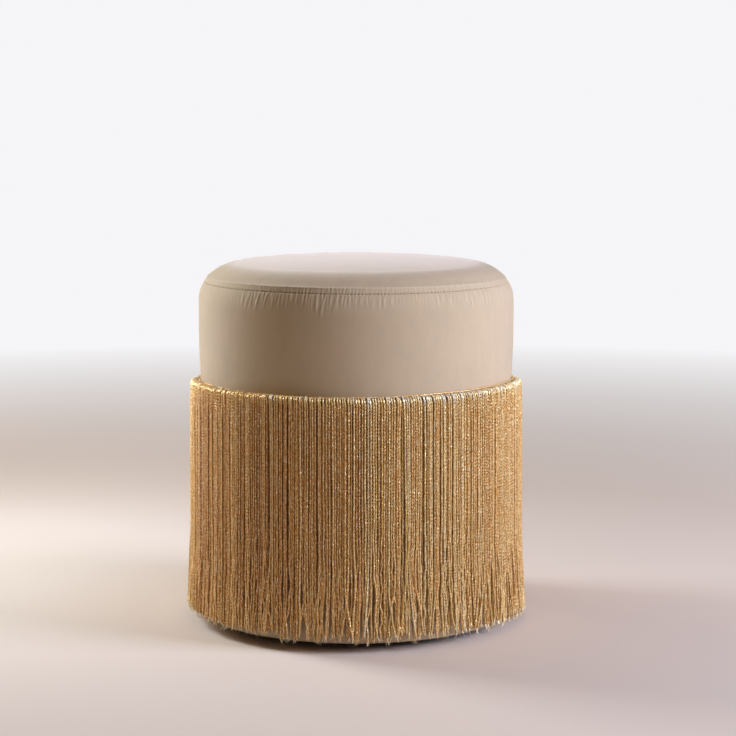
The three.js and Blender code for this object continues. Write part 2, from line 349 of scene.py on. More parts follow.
    def bump(
        self,
        height: Socket,
        depth: float,
        strength: float = 1.0,
        direction: Socket | None = None,
    ) -> None:
        """Roughens the surface.

        Args:
            height: The relief, from 0 to 1.
            depth: Its real depth, in metres.
            strength: How much of it shows.
            direction: The surface's direction, where it isn't the mesh's own.
        """
        made = self.node("ShaderNodeBump", {"Height": height, "Distance": depth, "Strength": strength})
        if direction:
            self.feed(made.inputs["Normal"], direction)
        self.feed(self.shader.inputs["Normal"], made.outputs["Normal"])


def seen_directly(tree: bpy.types.NodeTree) -> Socket:
    """Adds nodes that say whether a ray comes from the camera, a gloss or clear glass.

    Args:
        tree: Nodes of a material or the world.

    Returns:
        A socket that is 1 where it does and 0 elsewhere.
    """
    path = tree.nodes.new("ShaderNodeLightPath")
    total = path.outputs["Is Camera Ray"]
    for name in ("Is Glossy Ray", "Is Transmission Ray"):
        both = tree.nodes.new("ShaderNodeMath")
        both.operation = "MAXIMUM"
        tree.links.new(total, both.inputs[0])
        tree.links.new(path.outputs[name], both.inputs[1])
        total = both.outputs[0]
    return total


@dataclass(frozen=True)
class VelvetFinish:
    """Short-pile beige velvet: soft patches where the pile lies differently, a pale bloom, and painted
    light: a painted highlight on raised folds and painted shade in creases and stitch holes.
    """

    name: str = "beige_velvet"
    slot: Slot = Slot.VELVET
    warm: Colour = linear(204, 181, 150)
    cool: Colour = linear(200, 179, 148)
    # Colour of the painted highlight on raised folds, then colour of the painted shade in creases and stitch
    # holes.
    painted_light_colour: Colour = linear(236, 222, 198)
    crease_shade: Colour = linear(126, 98, 74)
    bloom: Colour = linear(250, 240, 241)
    patch: float = 55 * MM
    streak: float = 9 * MM
    pile: float = 0.55 * MM
    pile_depth: float = 0.12 * MM

    def build(self) -> Material:
        """Makes the material.

        Returns:
            The material.
        """
        recipe = Recipe(self.name)
        clouds = recipe.noise(self.patch, detail=1.5, distortion=0.6)
        base = recipe.mix(recipe.levels(clouds, span=(0.35, 0.65)), self.warm, self.cool)
        brushed = recipe.noise(self.streak, detail=3.0, stretch=(1, 1, 0.35), distortion=0.4)
        streaks = recipe.levels(brushed, to=(0.97, 1.025), span=NOISE_SPAN)
        pile = recipe.noise(self.pile)
        fine = recipe.levels(pile, to=(0.93, 1.05), span=NOISE_SPAN)
        # Painted light from the fold values: a painted highlight on raised folds and the seam's lip, and
        # painted shade in creases, the stitch groove, stitch holes and the back seam.
        fold = recipe.attribute("fold")
        fold_highlighted = recipe.mix(recipe.levels(fold, to=(0, 0.6), span=(0.1, 1.2)), base, self.painted_light_colour)
        folded = recipe.mix(recipe.levels(fold, to=(0.6, 0), span=(-1, -0.1)), fold_highlighted, self.crease_shade)
        recipe.set(
            Base_Color=recipe.shaded(folded, recipe.math("MULTIPLY", streaks, fine)),
            Roughness=recipe.levels(pile, to=(0.8, 0.95)),
            Specular_IOR_Level=0.15,
            Sheen_Weight=0.47,
            Sheen_Roughness=0.5,
            Sheen_Tint=self.bloom,
        )
        recipe.bump(pile, self.pile_depth, strength=0.5)
        return recipe.material


@dataclass(frozen=True)
class ThreadFinish:
    """Sewing thread in the cover's own colour, a shade darker."""

    name: str = "sewing_thread"
    slot: Slot = Slot.VELVET
    colour: Colour = linear(176, 150, 124)
    lay: float = 0.35 * MM
    depth: float = 0.1 * MM

    def build(self) -> Material:
        """Makes the material.

        Returns:
            The material.
        """
        recipe = Recipe(self.name)
        fibres = recipe.noise(self.lay)
        recipe.set(
            Base_Color=recipe.shaded(self.colour, recipe.levels(fibres, to=(0.8, 1.15), span=NOISE_SPAN)),
            Roughness=recipe.levels(fibres, to=(0.45, 0.65)),
            Sheen_Weight=0.2,
            Specular_IOR_Level=0.4,
        )
        recipe.bump(fibres, self.depth, strength=0.6)
        return recipe.material


@dataclass(frozen=True)
class GoldCordFinish:
    """Rayon cord wound with metallic thread: four shades of gold, painted shade between its plies, and
    painted glints in random cells.
    """

    name: str = "gold_cord"
    slot: Slot = Slot.GOLD_CORD
    shades: Stops = (
        (0.0, linear(202, 132, 68)),
        (0.35, linear(246, 188, 106)),
        (0.7, linear(255, 218, 144)),
        (1.0, linear(255, 248, 231)),
    )
    # Painted shade: the cord's colour is multiplied towards this one in the valleys between its plies.
    valley_shade: Colour = (0.45, 0.34, 0.23)
    on_plies: Colour = (1.0, 1.0, 1.0)
    # Painted glint: the base colour turns towards this pale colour in random cells.
    glint: Colour = linear(255, 236, 190)
    glint_size: float = 1.0 * MM
    glitter: float = 0.43
    fibre: float = 0.3 * MM
    fibre_depth: float = 0.12 * MM

    def build(self) -> Material:
        """Makes the material.

        Returns:
            The material.
        """
        recipe = Recipe(self.name)
        body = recipe.ramp(recipe.attribute("tone"), self.shades)
        # Painted shade in the valleys between plies, where the ply value is low.
        plies = recipe.mix(recipe.attribute("ply"), self.valley_shade, self.on_plies)
        wound = recipe.shaded(body, plies)
        fibres = recipe.noise(self.fibre)
        # The cord's colour with its painted valley shade, toned by its fibres.
        painted_light_colour = recipe.shaded(wound, recipe.levels(fibres, to=(0.84, 1.1), span=NOISE_SPAN))
        cells = recipe.cells(self.glint_size, stretch=(1.2, 1.2, 0.5))
        spark = recipe.node("ShaderNodeSeparateColor", {"Color": cells}).outputs["Red"]
        # Painted glints: paler base colour in bright random cells; their lower roughness and tilted facets
        # are real shading.
        glints = recipe.levels(spark, to=(0.0, 0.62), span=(0.56, 0.9))
        recipe.set(
            Base_Color=recipe.mix(glints, painted_light_colour, self.glint),
            Metallic=0.43,
            Roughness=recipe.levels(spark, to=(0.5, 0.3), span=(0.3, 0.8)),
            Specular_IOR_Level=0.5,
        )
        recipe.bump(fibres, self.fibre_depth, strength=0.7, direction=recipe.tilted(cells, self.glitter))
        return recipe.material


@dataclass(frozen=True)
class TapeFinish:
    """Woven tape behind the heads of the cords."""

    name: str = "heading_tape"
    slot: Slot = Slot.GOLD_CORD
    colour: Colour = linear(158, 112, 58)
    shade: Colour = linear(112, 76, 38)
    thread: float = 0.7 * MM
    depth: float = 0.25 * MM

    def build(self) -> Material:
        """Makes the material.

        Returns:
            The material.
        """
        recipe = Recipe(self.name)
        weave = recipe.cells(self.thread, stretch=(1, 1, 1.6), output="Distance")
        recipe.set(
            Base_Color=recipe.mix(recipe.levels(weave, span=(0.1, 0.6)), self.colour, self.shade),
            Metallic=0.25,
            Roughness=recipe.levels(weave, to=(0.5, 0.75)),
        )
        recipe.bump(weave, self.depth, strength=0.8)
        return recipe.material


@dataclass(frozen=True)
class WoodFinish:
    """Bare wood: long grain along one axis, with finer pores."""

    name: str
    early: Colour
    late: Colour
    band: float
    stretch: Stretch
    pores_a_band: float = 6
    stops: tuple[float, float, float] = (0.35, 0.52, 0.66)
    depth: float = 0.2 * MM

    def build(self) -> Material:
        """Makes the material.

        Returns:
            The material.
        """
        recipe = Recipe(self.name)
        grain = recipe.noise(self.band, detail=4.0, stretch=self.stretch, distortion=1.2)
        pores = recipe.noise(self.band / self.pores_a_band, stretch=self.stretch)
        bands = recipe.ramp(grain, list(zip(self.stops, (self.early, self.late, self.early))))
        recipe.set(
            Base_Color=recipe.shaded(bands, recipe.levels(pores, to=(0.8, 1.08), span=NOISE_SPAN)),
            Roughness=recipe.levels(grain, to=(0.62, 0.8)),
        )
        recipe.bump(recipe.math("ADD", grain, pores), self.depth, strength=0.5)
        return recipe.material


@dataclass(frozen=True)
class GrainFinish:
    """A pressed, foamed, moulded or plated material: specks of two colours over soft patches."""

    name: str
    light: Colour
    dark: Colour
    speck: float
    roughness: float
    depth: float
    metallic: float = 0.0
    sheen: float = 0.0
    slot: Slot | None = None
    patch: float = 30 * MM
    uneven: float = 0.08

    def build(self) -> Material:
        """Makes the material.

        Returns:
            The material.
        """
        recipe = Recipe(self.name)
        specks = recipe.noise(self.speck, detail=3.0)
        patches = recipe.levels(recipe.noise(self.patch), to=(0.9, 1.06), span=NOISE_SPAN)
        mixed = recipe.mix(recipe.levels(specks, span=(0.35, 0.65)), self.light, self.dark)
        rough = (self.roughness - self.uneven, self.roughness + self.uneven)
        recipe.set(
            Base_Color=recipe.shaded(mixed, patches),
            Metallic=self.metallic,
            Roughness=recipe.levels(specks, to=rough),
            Sheen_Weight=self.sheen,
        )
        recipe.bump(specks, self.depth, strength=0.7)
        return recipe.material


Finish = VelvetFinish | ThreadFinish | GoldCordFinish | TapeFinish | WoodFinish | GrainFinish

VELVET = VelvetFinish()
THREAD = ThreadFinish()
GOLD_CORD = GoldCordFinish()
TAPE = TapeFinish()
PLYWOOD = WoodFinish("birch_plywood", linear(212, 178, 130), linear(176, 134, 86), 7 * MM, (0.12, 1, 1))
PINE = WoodFinish("pine", linear(226, 196, 148), linear(190, 144, 92), 5 * MM, (1, 1, 0.08))
HARDBOARD = GrainFinish("hardboard", linear(132, 98, 66), linear(96, 68, 44), 1.2 * MM, 0.75, 0.15 * MM)
FOAM = GrainFinish(
    "seat_foam", linear(238, 230, 204), linear(214, 200, 160), 0.9 * MM, 0.95, 0.4 * MM, slot=Slot.FOAM
)
WADDING = GrainFinish(
    "polyester_wadding",
    linear(248, 247, 243),
    linear(226, 224, 218),
    2.2 * MM,
    0.95,
    0.6 * MM,
    sheen=0.3,
    slot=Slot.WADDING,
)
DUST_CLOTH = GrainFinish(
    "black_nonwoven",
    linear(40, 37, 35),
    linear(24, 22, 21),
    0.8 * MM,
    0.9,
    0.15 * MM,
    sheen=0.15,
    slot=Slot.BLACK_CLOTH,
)
BLACK_PLASTIC = GrainFinish(
    "black_polythene", linear(48, 45, 43), linear(38, 36, 34), 0.6 * MM, 0.45, 0.05 * MM
)
ZINC = GrainFinish(
    "zinc_plate", linear(206, 206, 200), linear(170, 172, 170), 1.5 * MM, 0.34, 0.04 * MM, metallic=1.0
)


@dataclass
class Faces:
    """Faces of a mesh, with a bake place for each of their corners."""

    corners: Array
    sizes: Array
    places: Array

    def flipped(self) -> "Faces":
        """The same faces, turned to face the other way.

        Returns:
            The turned faces.
        """
        ends = np.cumsum(self.sizes)
        starts = ends - self.sizes
        order = np.repeat(starts + ends - 1, self.sizes) - np.arange(self.corners.size)
        return Faces(self.corners[order], self.sizes, self.places[order])


@cache
def wear(finish: Finish) -> Material:
    """The material of a finish, made at its first use."""
    return finish.build()


def make_piece(
    name: str, points: Array, faces: Faces, finish: Finish, values: dict[str, Array] | None = None
) -> Object:
    """Makes a smooth mesh piece that rides on the tuffet.

    Args:
        name: Name of the piece.
        points: Its points, in metres, with X, Y and Z along the last axis.
        faces: Its faces.
        finish: Its finish.
        values: Values to store at each point, by name.

    Returns:
        The piece.
    """
    points = points.reshape(-1, 3)
    mesh = bpy.data.meshes.new(name)
    mesh.vertices.add(len(points))
    mesh.vertices.foreach_set("co", points.astype(np.float32).ravel())
    mesh.loops.add(len(faces.corners))
    mesh.loops.foreach_set("vertex_index", faces.corners.astype(np.int32))
    mesh.polygons.add(len(faces.sizes))
    starts = np.concatenate([[0], np.cumsum(faces.sizes)[:-1]])
    mesh.polygons.foreach_set("loop_start", starts.astype(np.int32))
    mesh.update(calc_edges=True)
    bake = mesh.uv_layers.new(name=BAKE_MAP)
    bake.uv.foreach_set("vector", faces.places.astype(np.float32).ravel())
    for key, numbers in (values or {}).items():
        stored = mesh.attributes.new(key, "FLOAT", "POINT")
        stored.data.foreach_set("value", numbers.astype(np.float32).ravel())
    mesh.shade_smooth()
    mesh.materials.append(wear(finish))
    piece = put_in_scene(name, mesh)
    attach(piece, BODY)
    log.info("%s: %d points, %d faces", name, len(points), len(faces.sizes))
    return piece


def strip(upper: int, lower: int) -> list[list[tuple[int, Array]]]:
    """Faces between two rings, one of which may have half the points of the other or be one point.

    Args:
        upper: Points in the first ring.
        lower: Points in the second ring.

    Returns:
        For each kind of face, its corners as (0 or 1 for the ring, columns).
    """
    if upper == 1:
        j = np.arange(lower)
        return [[(0, 0 * j), (1, j), (1, j + 1)]]
    if lower == 1:
        j = np.arange(upper)
        return [[(0, j), (1, 0 * j), (0, j + 1)]]
    j = np.arange(min(upper, lower))
    if upper == lower:
        return [[(0, j), (1, j), (1, j + 1), (0, j + 1)]]
    if upper > lower:
        return [
            [(0, 2 * j), (1, j), (0, 2 * j + 1)],
            [(0, 2 * j + 1), (1, j), (1, j + 1), (0, 2 * j + 2)],
        ]
    return [
        [(0, j), (1, 2 * j), (1, 2 * j + 1)],
        [(0, j), (1, 2 * j + 1), (1, 2 * j + 2), (0, j + 1)],
    ]


def join_rings(rings: Sequence[Array], start: float = 0.0, closed: bool = False) -> tuple[Array, Faces]:
    """Joins rings of points, one after the other, round the tuffet's axis.

    Args:
        rings: The points of each ring.
        start: How far from the middle of the bake map the first ring lies, from 0 to 1.
        closed: Whether the last ring joins the first one.

    Returns:
        The points and the faces.
    """
    counts = [len(ring) for ring in rings]
    starts = np.concatenate([[0], np.cumsum(counts)[:-1]])
    order = [*range(len(counts)), *([0] if closed else [])]
    shown = [*np.linspace(start, 1, len(counts)), *([1.0] if closed else [])]
    corners, sizes, places = [], [], []
    for level in range(len(order) - 1):
        pair = order[level], order[level + 1]
        for face in strip(counts[pair[0]], counts[pair[1]]):
            numbers, spots = [], []
            for side, column in face:
                count = counts[pair[side]]
                numbers.append(starts[pair[side]] + column % count)
                angle = column / count * FULL_TURN
                reach = shown[level + side] / 2
                spots.append(np.stack([0.5 + reach * np.cos(angle), 0.5 + reach * np.sin(angle)], -1))
            corners.append(np.stack(numbers, 1).ravel())
            places.append(np.stack(spots, 1).reshape(-1, 2))
            sizes.append(np.full(len(face[0][1]), len(face)))
    faces = Faces(*(np.concatenate(group) for group in (corners, sizes, places)))
    return np.concatenate(rings), faces


# Where the walls and the two ends of tubes lie on the bake map.
WALL_LENGTH = 0.95
WALL_SPAN: Span = (0.05, 0.9)
END_PLACES: Span = (0.965, 0.988)
END_SIZES: Span = (0.008, 0.4)


def tube_faces(count: int, rows: int, sides: int) -> Faces:
    """Faces of tubes that stand one after the other in the list of points, with closed ends.

    Args:
        count: How many tubes.
        rows: Rings in each tube.
        sides: Points in each ring.

    Returns:
        The faces.
    """
    tube = np.arange(count)[:, None, None]
    row = np.arange(rows - 1)[None, :, None]
    side = np.arange(sides)[None, None, :]
    corners, places = [], []
    for down, over in ((0, 0), (1, 0), (1, 1), (0, 1)):
        corners.append((tube * rows + row + down) * sides + (side + over) % sides)
        along = np.broadcast_to((row + down) / (rows - 1) * WALL_LENGTH, (count, rows - 1, sides))
        share = tube + WALL_SPAN[0] + WALL_SPAN[1] * (side + over) / sides
        places.append(np.stack([along, np.broadcast_to(share / count, along.shape)], -1))
    corners, places = [np.stack(corners, -1).ravel()], [np.stack(places, -2).reshape(-1, 2)]
    sizes = [np.full(count * (rows - 1) * sides, 4)]
    ring = np.arange(sides)
    spot = np.stack([np.cos(round_angles(sides)), np.sin(round_angles(sides))], -1)
    radius = np.array([END_SIZES[0], END_SIZES[1] / count])
    for first, order, along in zip((0, rows - 1), (ring, ring[::-1]), END_PLACES):
        corners.append(((np.arange(count)[:, None] * rows + first) * sides + order[None]).ravel())
        sizes.append(np.full(count, sides))
        middle = np.stack([np.full(count, along), (np.arange(count) + 0.5) / count], -1)
        places.append((middle[:, None] + spot[order][None] * radius).reshape(-1, 2))
    return Faces(*(np.concatenate(group) for group in (corners, sizes, places)))


def cubic_weights(share: Array) -> list[Array]:
    """Weights of the four samples round each place, for a smooth curve through the samples.

    Args:
        share: How far each place lies from its second sample to its third.

    Returns:
        The weight of each of the four samples.
    """
    square, cube = share**2, share**3
    return [
        (-cube + 2 * square - share) / 2,
        (3 * cube - 5 * square + 2) / 2,
        (-3 * cube + 4 * square + share) / 2,
        (cube - square) / 2,
    ]


@dataclass
class CoverOutline:
    """The velvet cover's outline: from the middle of the seat out, down the side and in under the base."""

    shoulder_reach: float = 45 * MM
    shoulder_drop: float = 43 * MM
    shoulder_arc: float = 1.5
    rim_angle: float = math.radians(84.5)
    seam_share: float = 0.444
    stitch_below_seam: float = 6.5 * MM
    hem_round: float = 3 * MM
    hem_arc: float = 2
    turn_under_end: float = 148.6 * MM
    fine: float = 0.25 * MM
    fewest_steps: int = 8

    def __post_init__(self) -> None:
        """Reads the cover's size from the frame and draws the outline."""
        band_low, band_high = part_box("side_band")
        self.radius = band_high.x
        self.bottom = band_low.z
        self.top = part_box("top_panel")[1].z
        self.shoulder_centre = self.radius - self.shoulder_reach
        rim_radius = self.shoulder_centre + self.shoulder_reach * math.cos(self.rim_angle)
        rise = rim_radius / 2 * self.shoulder_drop / (self.shoulder_reach * math.tan(self.rim_angle))
        self.shoulder_base = self.top - rise - self.shoulder_drop * math.sin(self.rim_angle)
        self.path = np.concatenate(list(self.parts(rim_radius, rise)))
        self.runs = np.concatenate([[0], np.cumsum(np.hypot(*np.diff(self.path, axis=0).T))])
        along = np.gradient(self.path, self.runs, axis=0)
        along /= np.linalg.norm(along, axis=1)[:, None]
        self.facing = np.stack([-along[:, 1], along[:, 0]], 1)
        seam_rise = self.shoulder_drop * math.sin(self.seam_share * QUARTER_TURN)
        self.seam_run = self.run_of_height(self.shoulder_base + seam_rise)
        self.stitch_run = self.seam_run + self.stitch_below_seam
        self.hem_run = self.run_of_height(self.bottom + self.hem_round)
        self.end_run = self.runs[-1]

    def steps(self, length: float) -> int:
        """How many fine steps a length takes."""
        return max(self.fewest_steps, round(length / self.fine))

    def parts(self, rim_radius: float, rise: float) -> Iterator[Array]:
        """Draws the crown, the rounded shoulder, the upright side, the hem and the turned-in flat.

        Args:
            rim_radius: Radius at which the crown meets the shoulder.
            rise: How far the crown rises from there.

        Yields:
            The (radius, height) points of each part.
        """
        radius = np.linspace(0, rim_radius, self.steps(rim_radius), endpoint=False)
        yield np.stack([radius, self.top - rise * (radius / rim_radius) ** 2], 1)
        count = self.steps(self.shoulder_reach * self.shoulder_arc)
        angle = np.linspace(self.rim_angle, 0, count, endpoint=False)
        radius = self.shoulder_centre + self.shoulder_reach * np.cos(angle)
        yield np.stack([radius, self.shoulder_base + self.shoulder_drop * np.sin(angle)], 1)
        low = self.bottom + self.hem_round
        height = np.linspace(self.shoulder_base, low, self.steps(self.shoulder_base - low), endpoint=False)
        yield np.stack([np.full_like(height, self.radius), height], 1)
        angle = np.linspace(0, QUARTER_TURN, self.steps(self.hem_arc * self.hem_round), endpoint=False)
        radius = self.radius - self.hem_round * (1 - np.cos(angle))
        yield np.stack([radius, self.bottom + self.hem_round * (1 - np.sin(angle))], 1)
        start = self.radius - self.hem_round
        radius = np.linspace(start, self.turn_under_end, self.steps(start - self.turn_under_end))
        yield np.stack([radius, np.full_like(radius, self.bottom)], 1)

    def run_of_height(self, height: float) -> float:
        """How far along the outline a height on the shoulder or the side lies."""
        return float(np.interp(-height, -self.path[:, 1], self.runs))

    def at(self, runs: Array) -> tuple[Array, Array]:
        """Places on the outline.

        Args:
            runs: How far along it they lie.

        Returns:
            Their (radius, height) and the way that the cover faces there.
        """
        table = np.concatenate([self.path, self.facing], 1)
        found = np.stack([np.interp(runs, self.runs, column) for column in table.T], -1)
        return found[..., :2], found[..., 2:]


@dataclass
class CoverForm:
    """How the stuffed cover swells between its sewn lines, from a simulation of the cloth."""

    outline: CoverOutline
    heading_run: float
    columns: int = 144
    spacing: float = 7 * MM
    heading_hold: float = 8 * MM
    inset: float = 1 * MM
    ease: float = 14 * MM
    slack: float = 0.006
    pressure: float = 4.0
    frames: int = 20
    most_out: float = 0.5 * MM
    most_in: float = 0.35 * MM
    soften: float = 3 * MM
    unevenness: float = 0.27 * MM
    uneven_ease: float = 26 * MM
    middle_ease: float = 60 * MM
    wave_count: int = 14
    waves_round: tuple[int, int] = (1, 9)
    wave_lengths_mm: Span = (60, 160)
    wave_crest: float = 3
    waist_depth: float = 1.6 * MM
    waist_reach: float = 30 * MM
    last_level: float = 1.001
    seed: int = 11

    def __post_init__(self) -> None:
        """Lays out the simulated rows and finds how far each of their points swells."""
        held = self.outline
        self.rows = np.arange(self.spacing, held.hem_run + self.spacing, self.spacing)
        heading = self.heading_run, self.heading_run + self.heading_hold
        self.held_runs = np.array([held.seam_run, held.stitch_run, *heading, held.hem_run])
        self.place, self.facing = self.outline.at(self.rows)
        self.start_inset = self.inset * (1 - hump(self.distance_to_held(self.rows), self.ease))
        self.swell = self.uneven() - self.waist(self.rows)[:, None]
        self.swell += self.simulated()

    def waist(self, runs: Array) -> Array:
        """How far the fringe's tape draws the cover in at places along the outline."""
        return self.waist_depth * hump(runs - self.heading_run, self.waist_reach)

    def distance_to_held(self, runs: Array) -> Array:
        """How far each place along the outline is from the nearest sewn line."""
        return np.abs(runs[:, None] - self.held_runs[None]).min(1)

    def uneven(self) -> Array:
        """Slight hollows and fullness of the padding, gone at the sewn lines.

        Returns:
            The heights as (rows, columns).
        """
        random = np.random.default_rng(self.seed)
        angles = round_angles(self.columns)
        total = np.zeros((len(self.rows), self.columns))
        for _ in range(self.wave_count):
            waves = random.integers(*self.waves_round)
            length = random.uniform(*self.wave_lengths_mm) * MM
            phase, shift = random.uniform(0, FULL_TURN, 2)
            total += np.sin(waves * angles[None] + phase) * np.sin(self.rows[:, None] / length + shift)
        free = 1 - hump(self.distance_to_held(self.rows), self.uneven_ease)
        near_middle = smooth_step(self.rows / self.middle_ease)
        return self.unevenness / self.wave_crest * total * (free * near_middle)[:, None]

    def form(self) -> Object:
        """The cover's start form, a little smaller than the cover.

        Returns:
            The form, with its sewn points in a group.
        """
        shrunk = self.place - self.start_inset[:, None] * self.facing
        rings = turned_points(shrunk[:, None, :], round_angles(self.columns)[None])
        points, faces = join_rings([np.array([[0, 0, self.outline.top - self.inset]]), *rings])
        mesh = bpy.data.meshes.new("cover_form")
        ends = np.cumsum(faces.sizes)
        listed = [faces.corners[end - size : end].tolist() for end, size in zip(ends, faces.sizes)]
        mesh.from_pydata(points.tolist(), [], listed)
        made = put_in_scene("cover_form", mesh)
        held = made.vertex_groups.new(name="sewn")
        for row in np.flatnonzero(self.distance_to_held(self.rows) < self.spacing / 2):
            held.add([1 + int(row) * self.columns + j for j in range(self.columns)], 1.0, "REPLACE")
        return made

    def simulated(self) -> Array:
        """Blows the form up as cloth and takes it away again.

        Returns:
            How far each point ends from the outline, capped, as (rows, columns).
        """
        made = self.form()
        cloth = made.modifiers.new("swell", "CLOTH")
        settings = cloth.settings
        settings.quality = 6
        settings.mass = 0.3
        settings.tension_stiffness = 15
        settings.compression_stiffness = 15
        settings.shear_stiffness = 5
        settings.bending_stiffness = 0.5
        settings.shrink_min = -self.slack
        settings.use_pressure = True
        settings.uniform_pressure_force = self.pressure
        settings.effector_weights.gravity = 0
        settings.vertex_group_mass = "sewn"
        cloth.collision_settings.use_collision = False
        scene = bpy.context.scene
        for number in range(1, self.frames + 1):
            scene.frame_set(number)
        shaped = made.evaluated_get(bpy.context.evaluated_depsgraph_get()).to_mesh()
        points = np.empty(len(shaped.vertices) * 3)
        shaped.vertices.foreach_get("co", points)
        points = points.reshape(-1, 3)[1:].reshape(len(self.rows), self.columns, 3)
        ended = np.stack([np.hypot(points[..., 0], points[..., 1]), points[..., 2]], -1)
        out = ((ended - self.place[:, None]) * self.facing[:, None]).sum(-1)
        out = (out + np.roll(out, 1, 1) + np.roll(out, -1, 1)) / 3
        bpy.data.objects.remove(made)
        scene.frame_set(1)
        log.info("cover form: swells from %.2f to %.2f mm before the cap", out.min() / MM, out.max() / MM)
        caps = np.where(out > 0, self.most_out, self.most_in)
        return caps * np.tanh(out / self.soften)

    def at(self, runs: Array, angles: Array) -> Array:
        """How far the cover stands out from its outline, smoothly between the simulated points.

        Args:
            runs: Places along the outline.
            angles: Places round the axis.

        Returns:
            A row for each run and a column for each angle.
        """
        level = np.clip(runs / self.spacing - 1, 0, len(self.rows) - self.last_level)
        column = angles / FULL_TURN * self.columns
        row_base, column_base = np.floor(level).astype(int), np.floor(column).astype(int)
        across = np.zeros((len(self.rows), len(angles)))
        for offset, weight in enumerate(cubic_weights(column - column_base), -1):
            across += self.swell[:, (column_base + offset) % self.columns] * weight
        total = np.zeros((len(runs), len(angles)))
        for offset, weight in enumerate(cubic_weights(level - row_base), -1):
            total += across[np.clip(row_base + offset, 0, len(self.rows) - 1)] * weight[:, None]
        return total


@dataclass
class Puckers:
    """Fine folds from the seam over the stitches, each with its own height, length and slant."""

    radius: float
    count: int = 300
    stray: float = 0.35
    height: float = 0.64 * MM
    height_shares: Span = (0.45, 1.0)
    shortest_mm: float = 4.5
    length_shape: float = 2.2
    length_scale_mm: float = 2.7
    slant_spread: float = 0.065
    slant_drift: float = 0.06
    slant_phase: float = 0.4
    bend_mm: float = 1.2
    bend_length: float = 9 * MM
    widths_mm: Span = (0.75, 1.15)
    widening: float = 26 * MM
    reach: float = 9 * MM
    above_seam: float = -5 * MM
    below_stitches: float = 34 * MM
    bent_between: Span = (-8 * MM, 40 * MM)
    start: float = 3 * MM
    start_ease: float = 4 * MM
    end_ease: float = 9 * MM
    valley_share: float = 0.45
    valley_width: float = 1.9
    weak: float = 0.42
    gathered: float = 0.58
    strong: tuple[Place, ...] = tuple(Place(angle, 27) for angle in (-117, -38, 42, 145))
    seed: int = 5

    def strength(self, angle: float) -> float:
        """How much the cover is gathered at an angle."""
        return self.weak + self.gathered * max(float(place.at(angle)) for place in self.strong)

    def at(self, below: Array, stitch: Array, angles: Array) -> Array:
        """The folds' height.

        Args:
            below: Distance of each row below the seam.
            stitch: Distance of each row below the stitches.
            angles: Angle of each column.

        Returns:
            Heights as (rows, columns).
        """
        random = np.random.default_rng(self.seed)
        total = np.zeros((len(below), len(angles)))
        rows = np.flatnonzero((below > self.above_seam) & (stitch < self.below_stitches))
        down = np.clip(stitch[rows], *self.bent_between)
        begun = smooth_step((below[rows] + self.start) / self.start_ease)
        for index in range(self.count):
            angle = (index + random.uniform(-self.stray, self.stray)) / self.count * FULL_TURN
            strength = self.strength(angle)
            height = self.height * random.uniform(*self.height_shares) * strength
            spare = random.gamma(self.length_shape, self.length_scale_mm) * strength
            length = (self.shortest_mm + spare) * MM
            drift = self.slant_drift * math.sin(angle + self.slant_phase)
            slant = random.normal(0.0, self.slant_spread) + drift
            bend = random.normal(0.0, self.bend_mm) * MM
            width = random.uniform(*self.widths_mm) * MM
            columns = np.flatnonzero(np.abs(turn_between(angles, angle)) * self.radius < self.reach)
            middle = slant * down + bend * np.sin(down / self.bend_length)
            offset = turn_between(angles[columns], angle)[None] * self.radius - middle[:, None]
            fade = begun * smooth_step(1 - (stitch[rows] - length) / self.end_ease)
            spread = (width * (1 + np.clip(down, 0, None) / self.widening))[:, None]
            fold = np.exp(-((offset / spread) ** 2))
            valley = np.exp(-((offset / spread / self.valley_width) ** 2))
            shape = fold - self.valley_share * valley
            total[np.ix_(rows, columns)] += height * fade[:, None] * shape
        return total


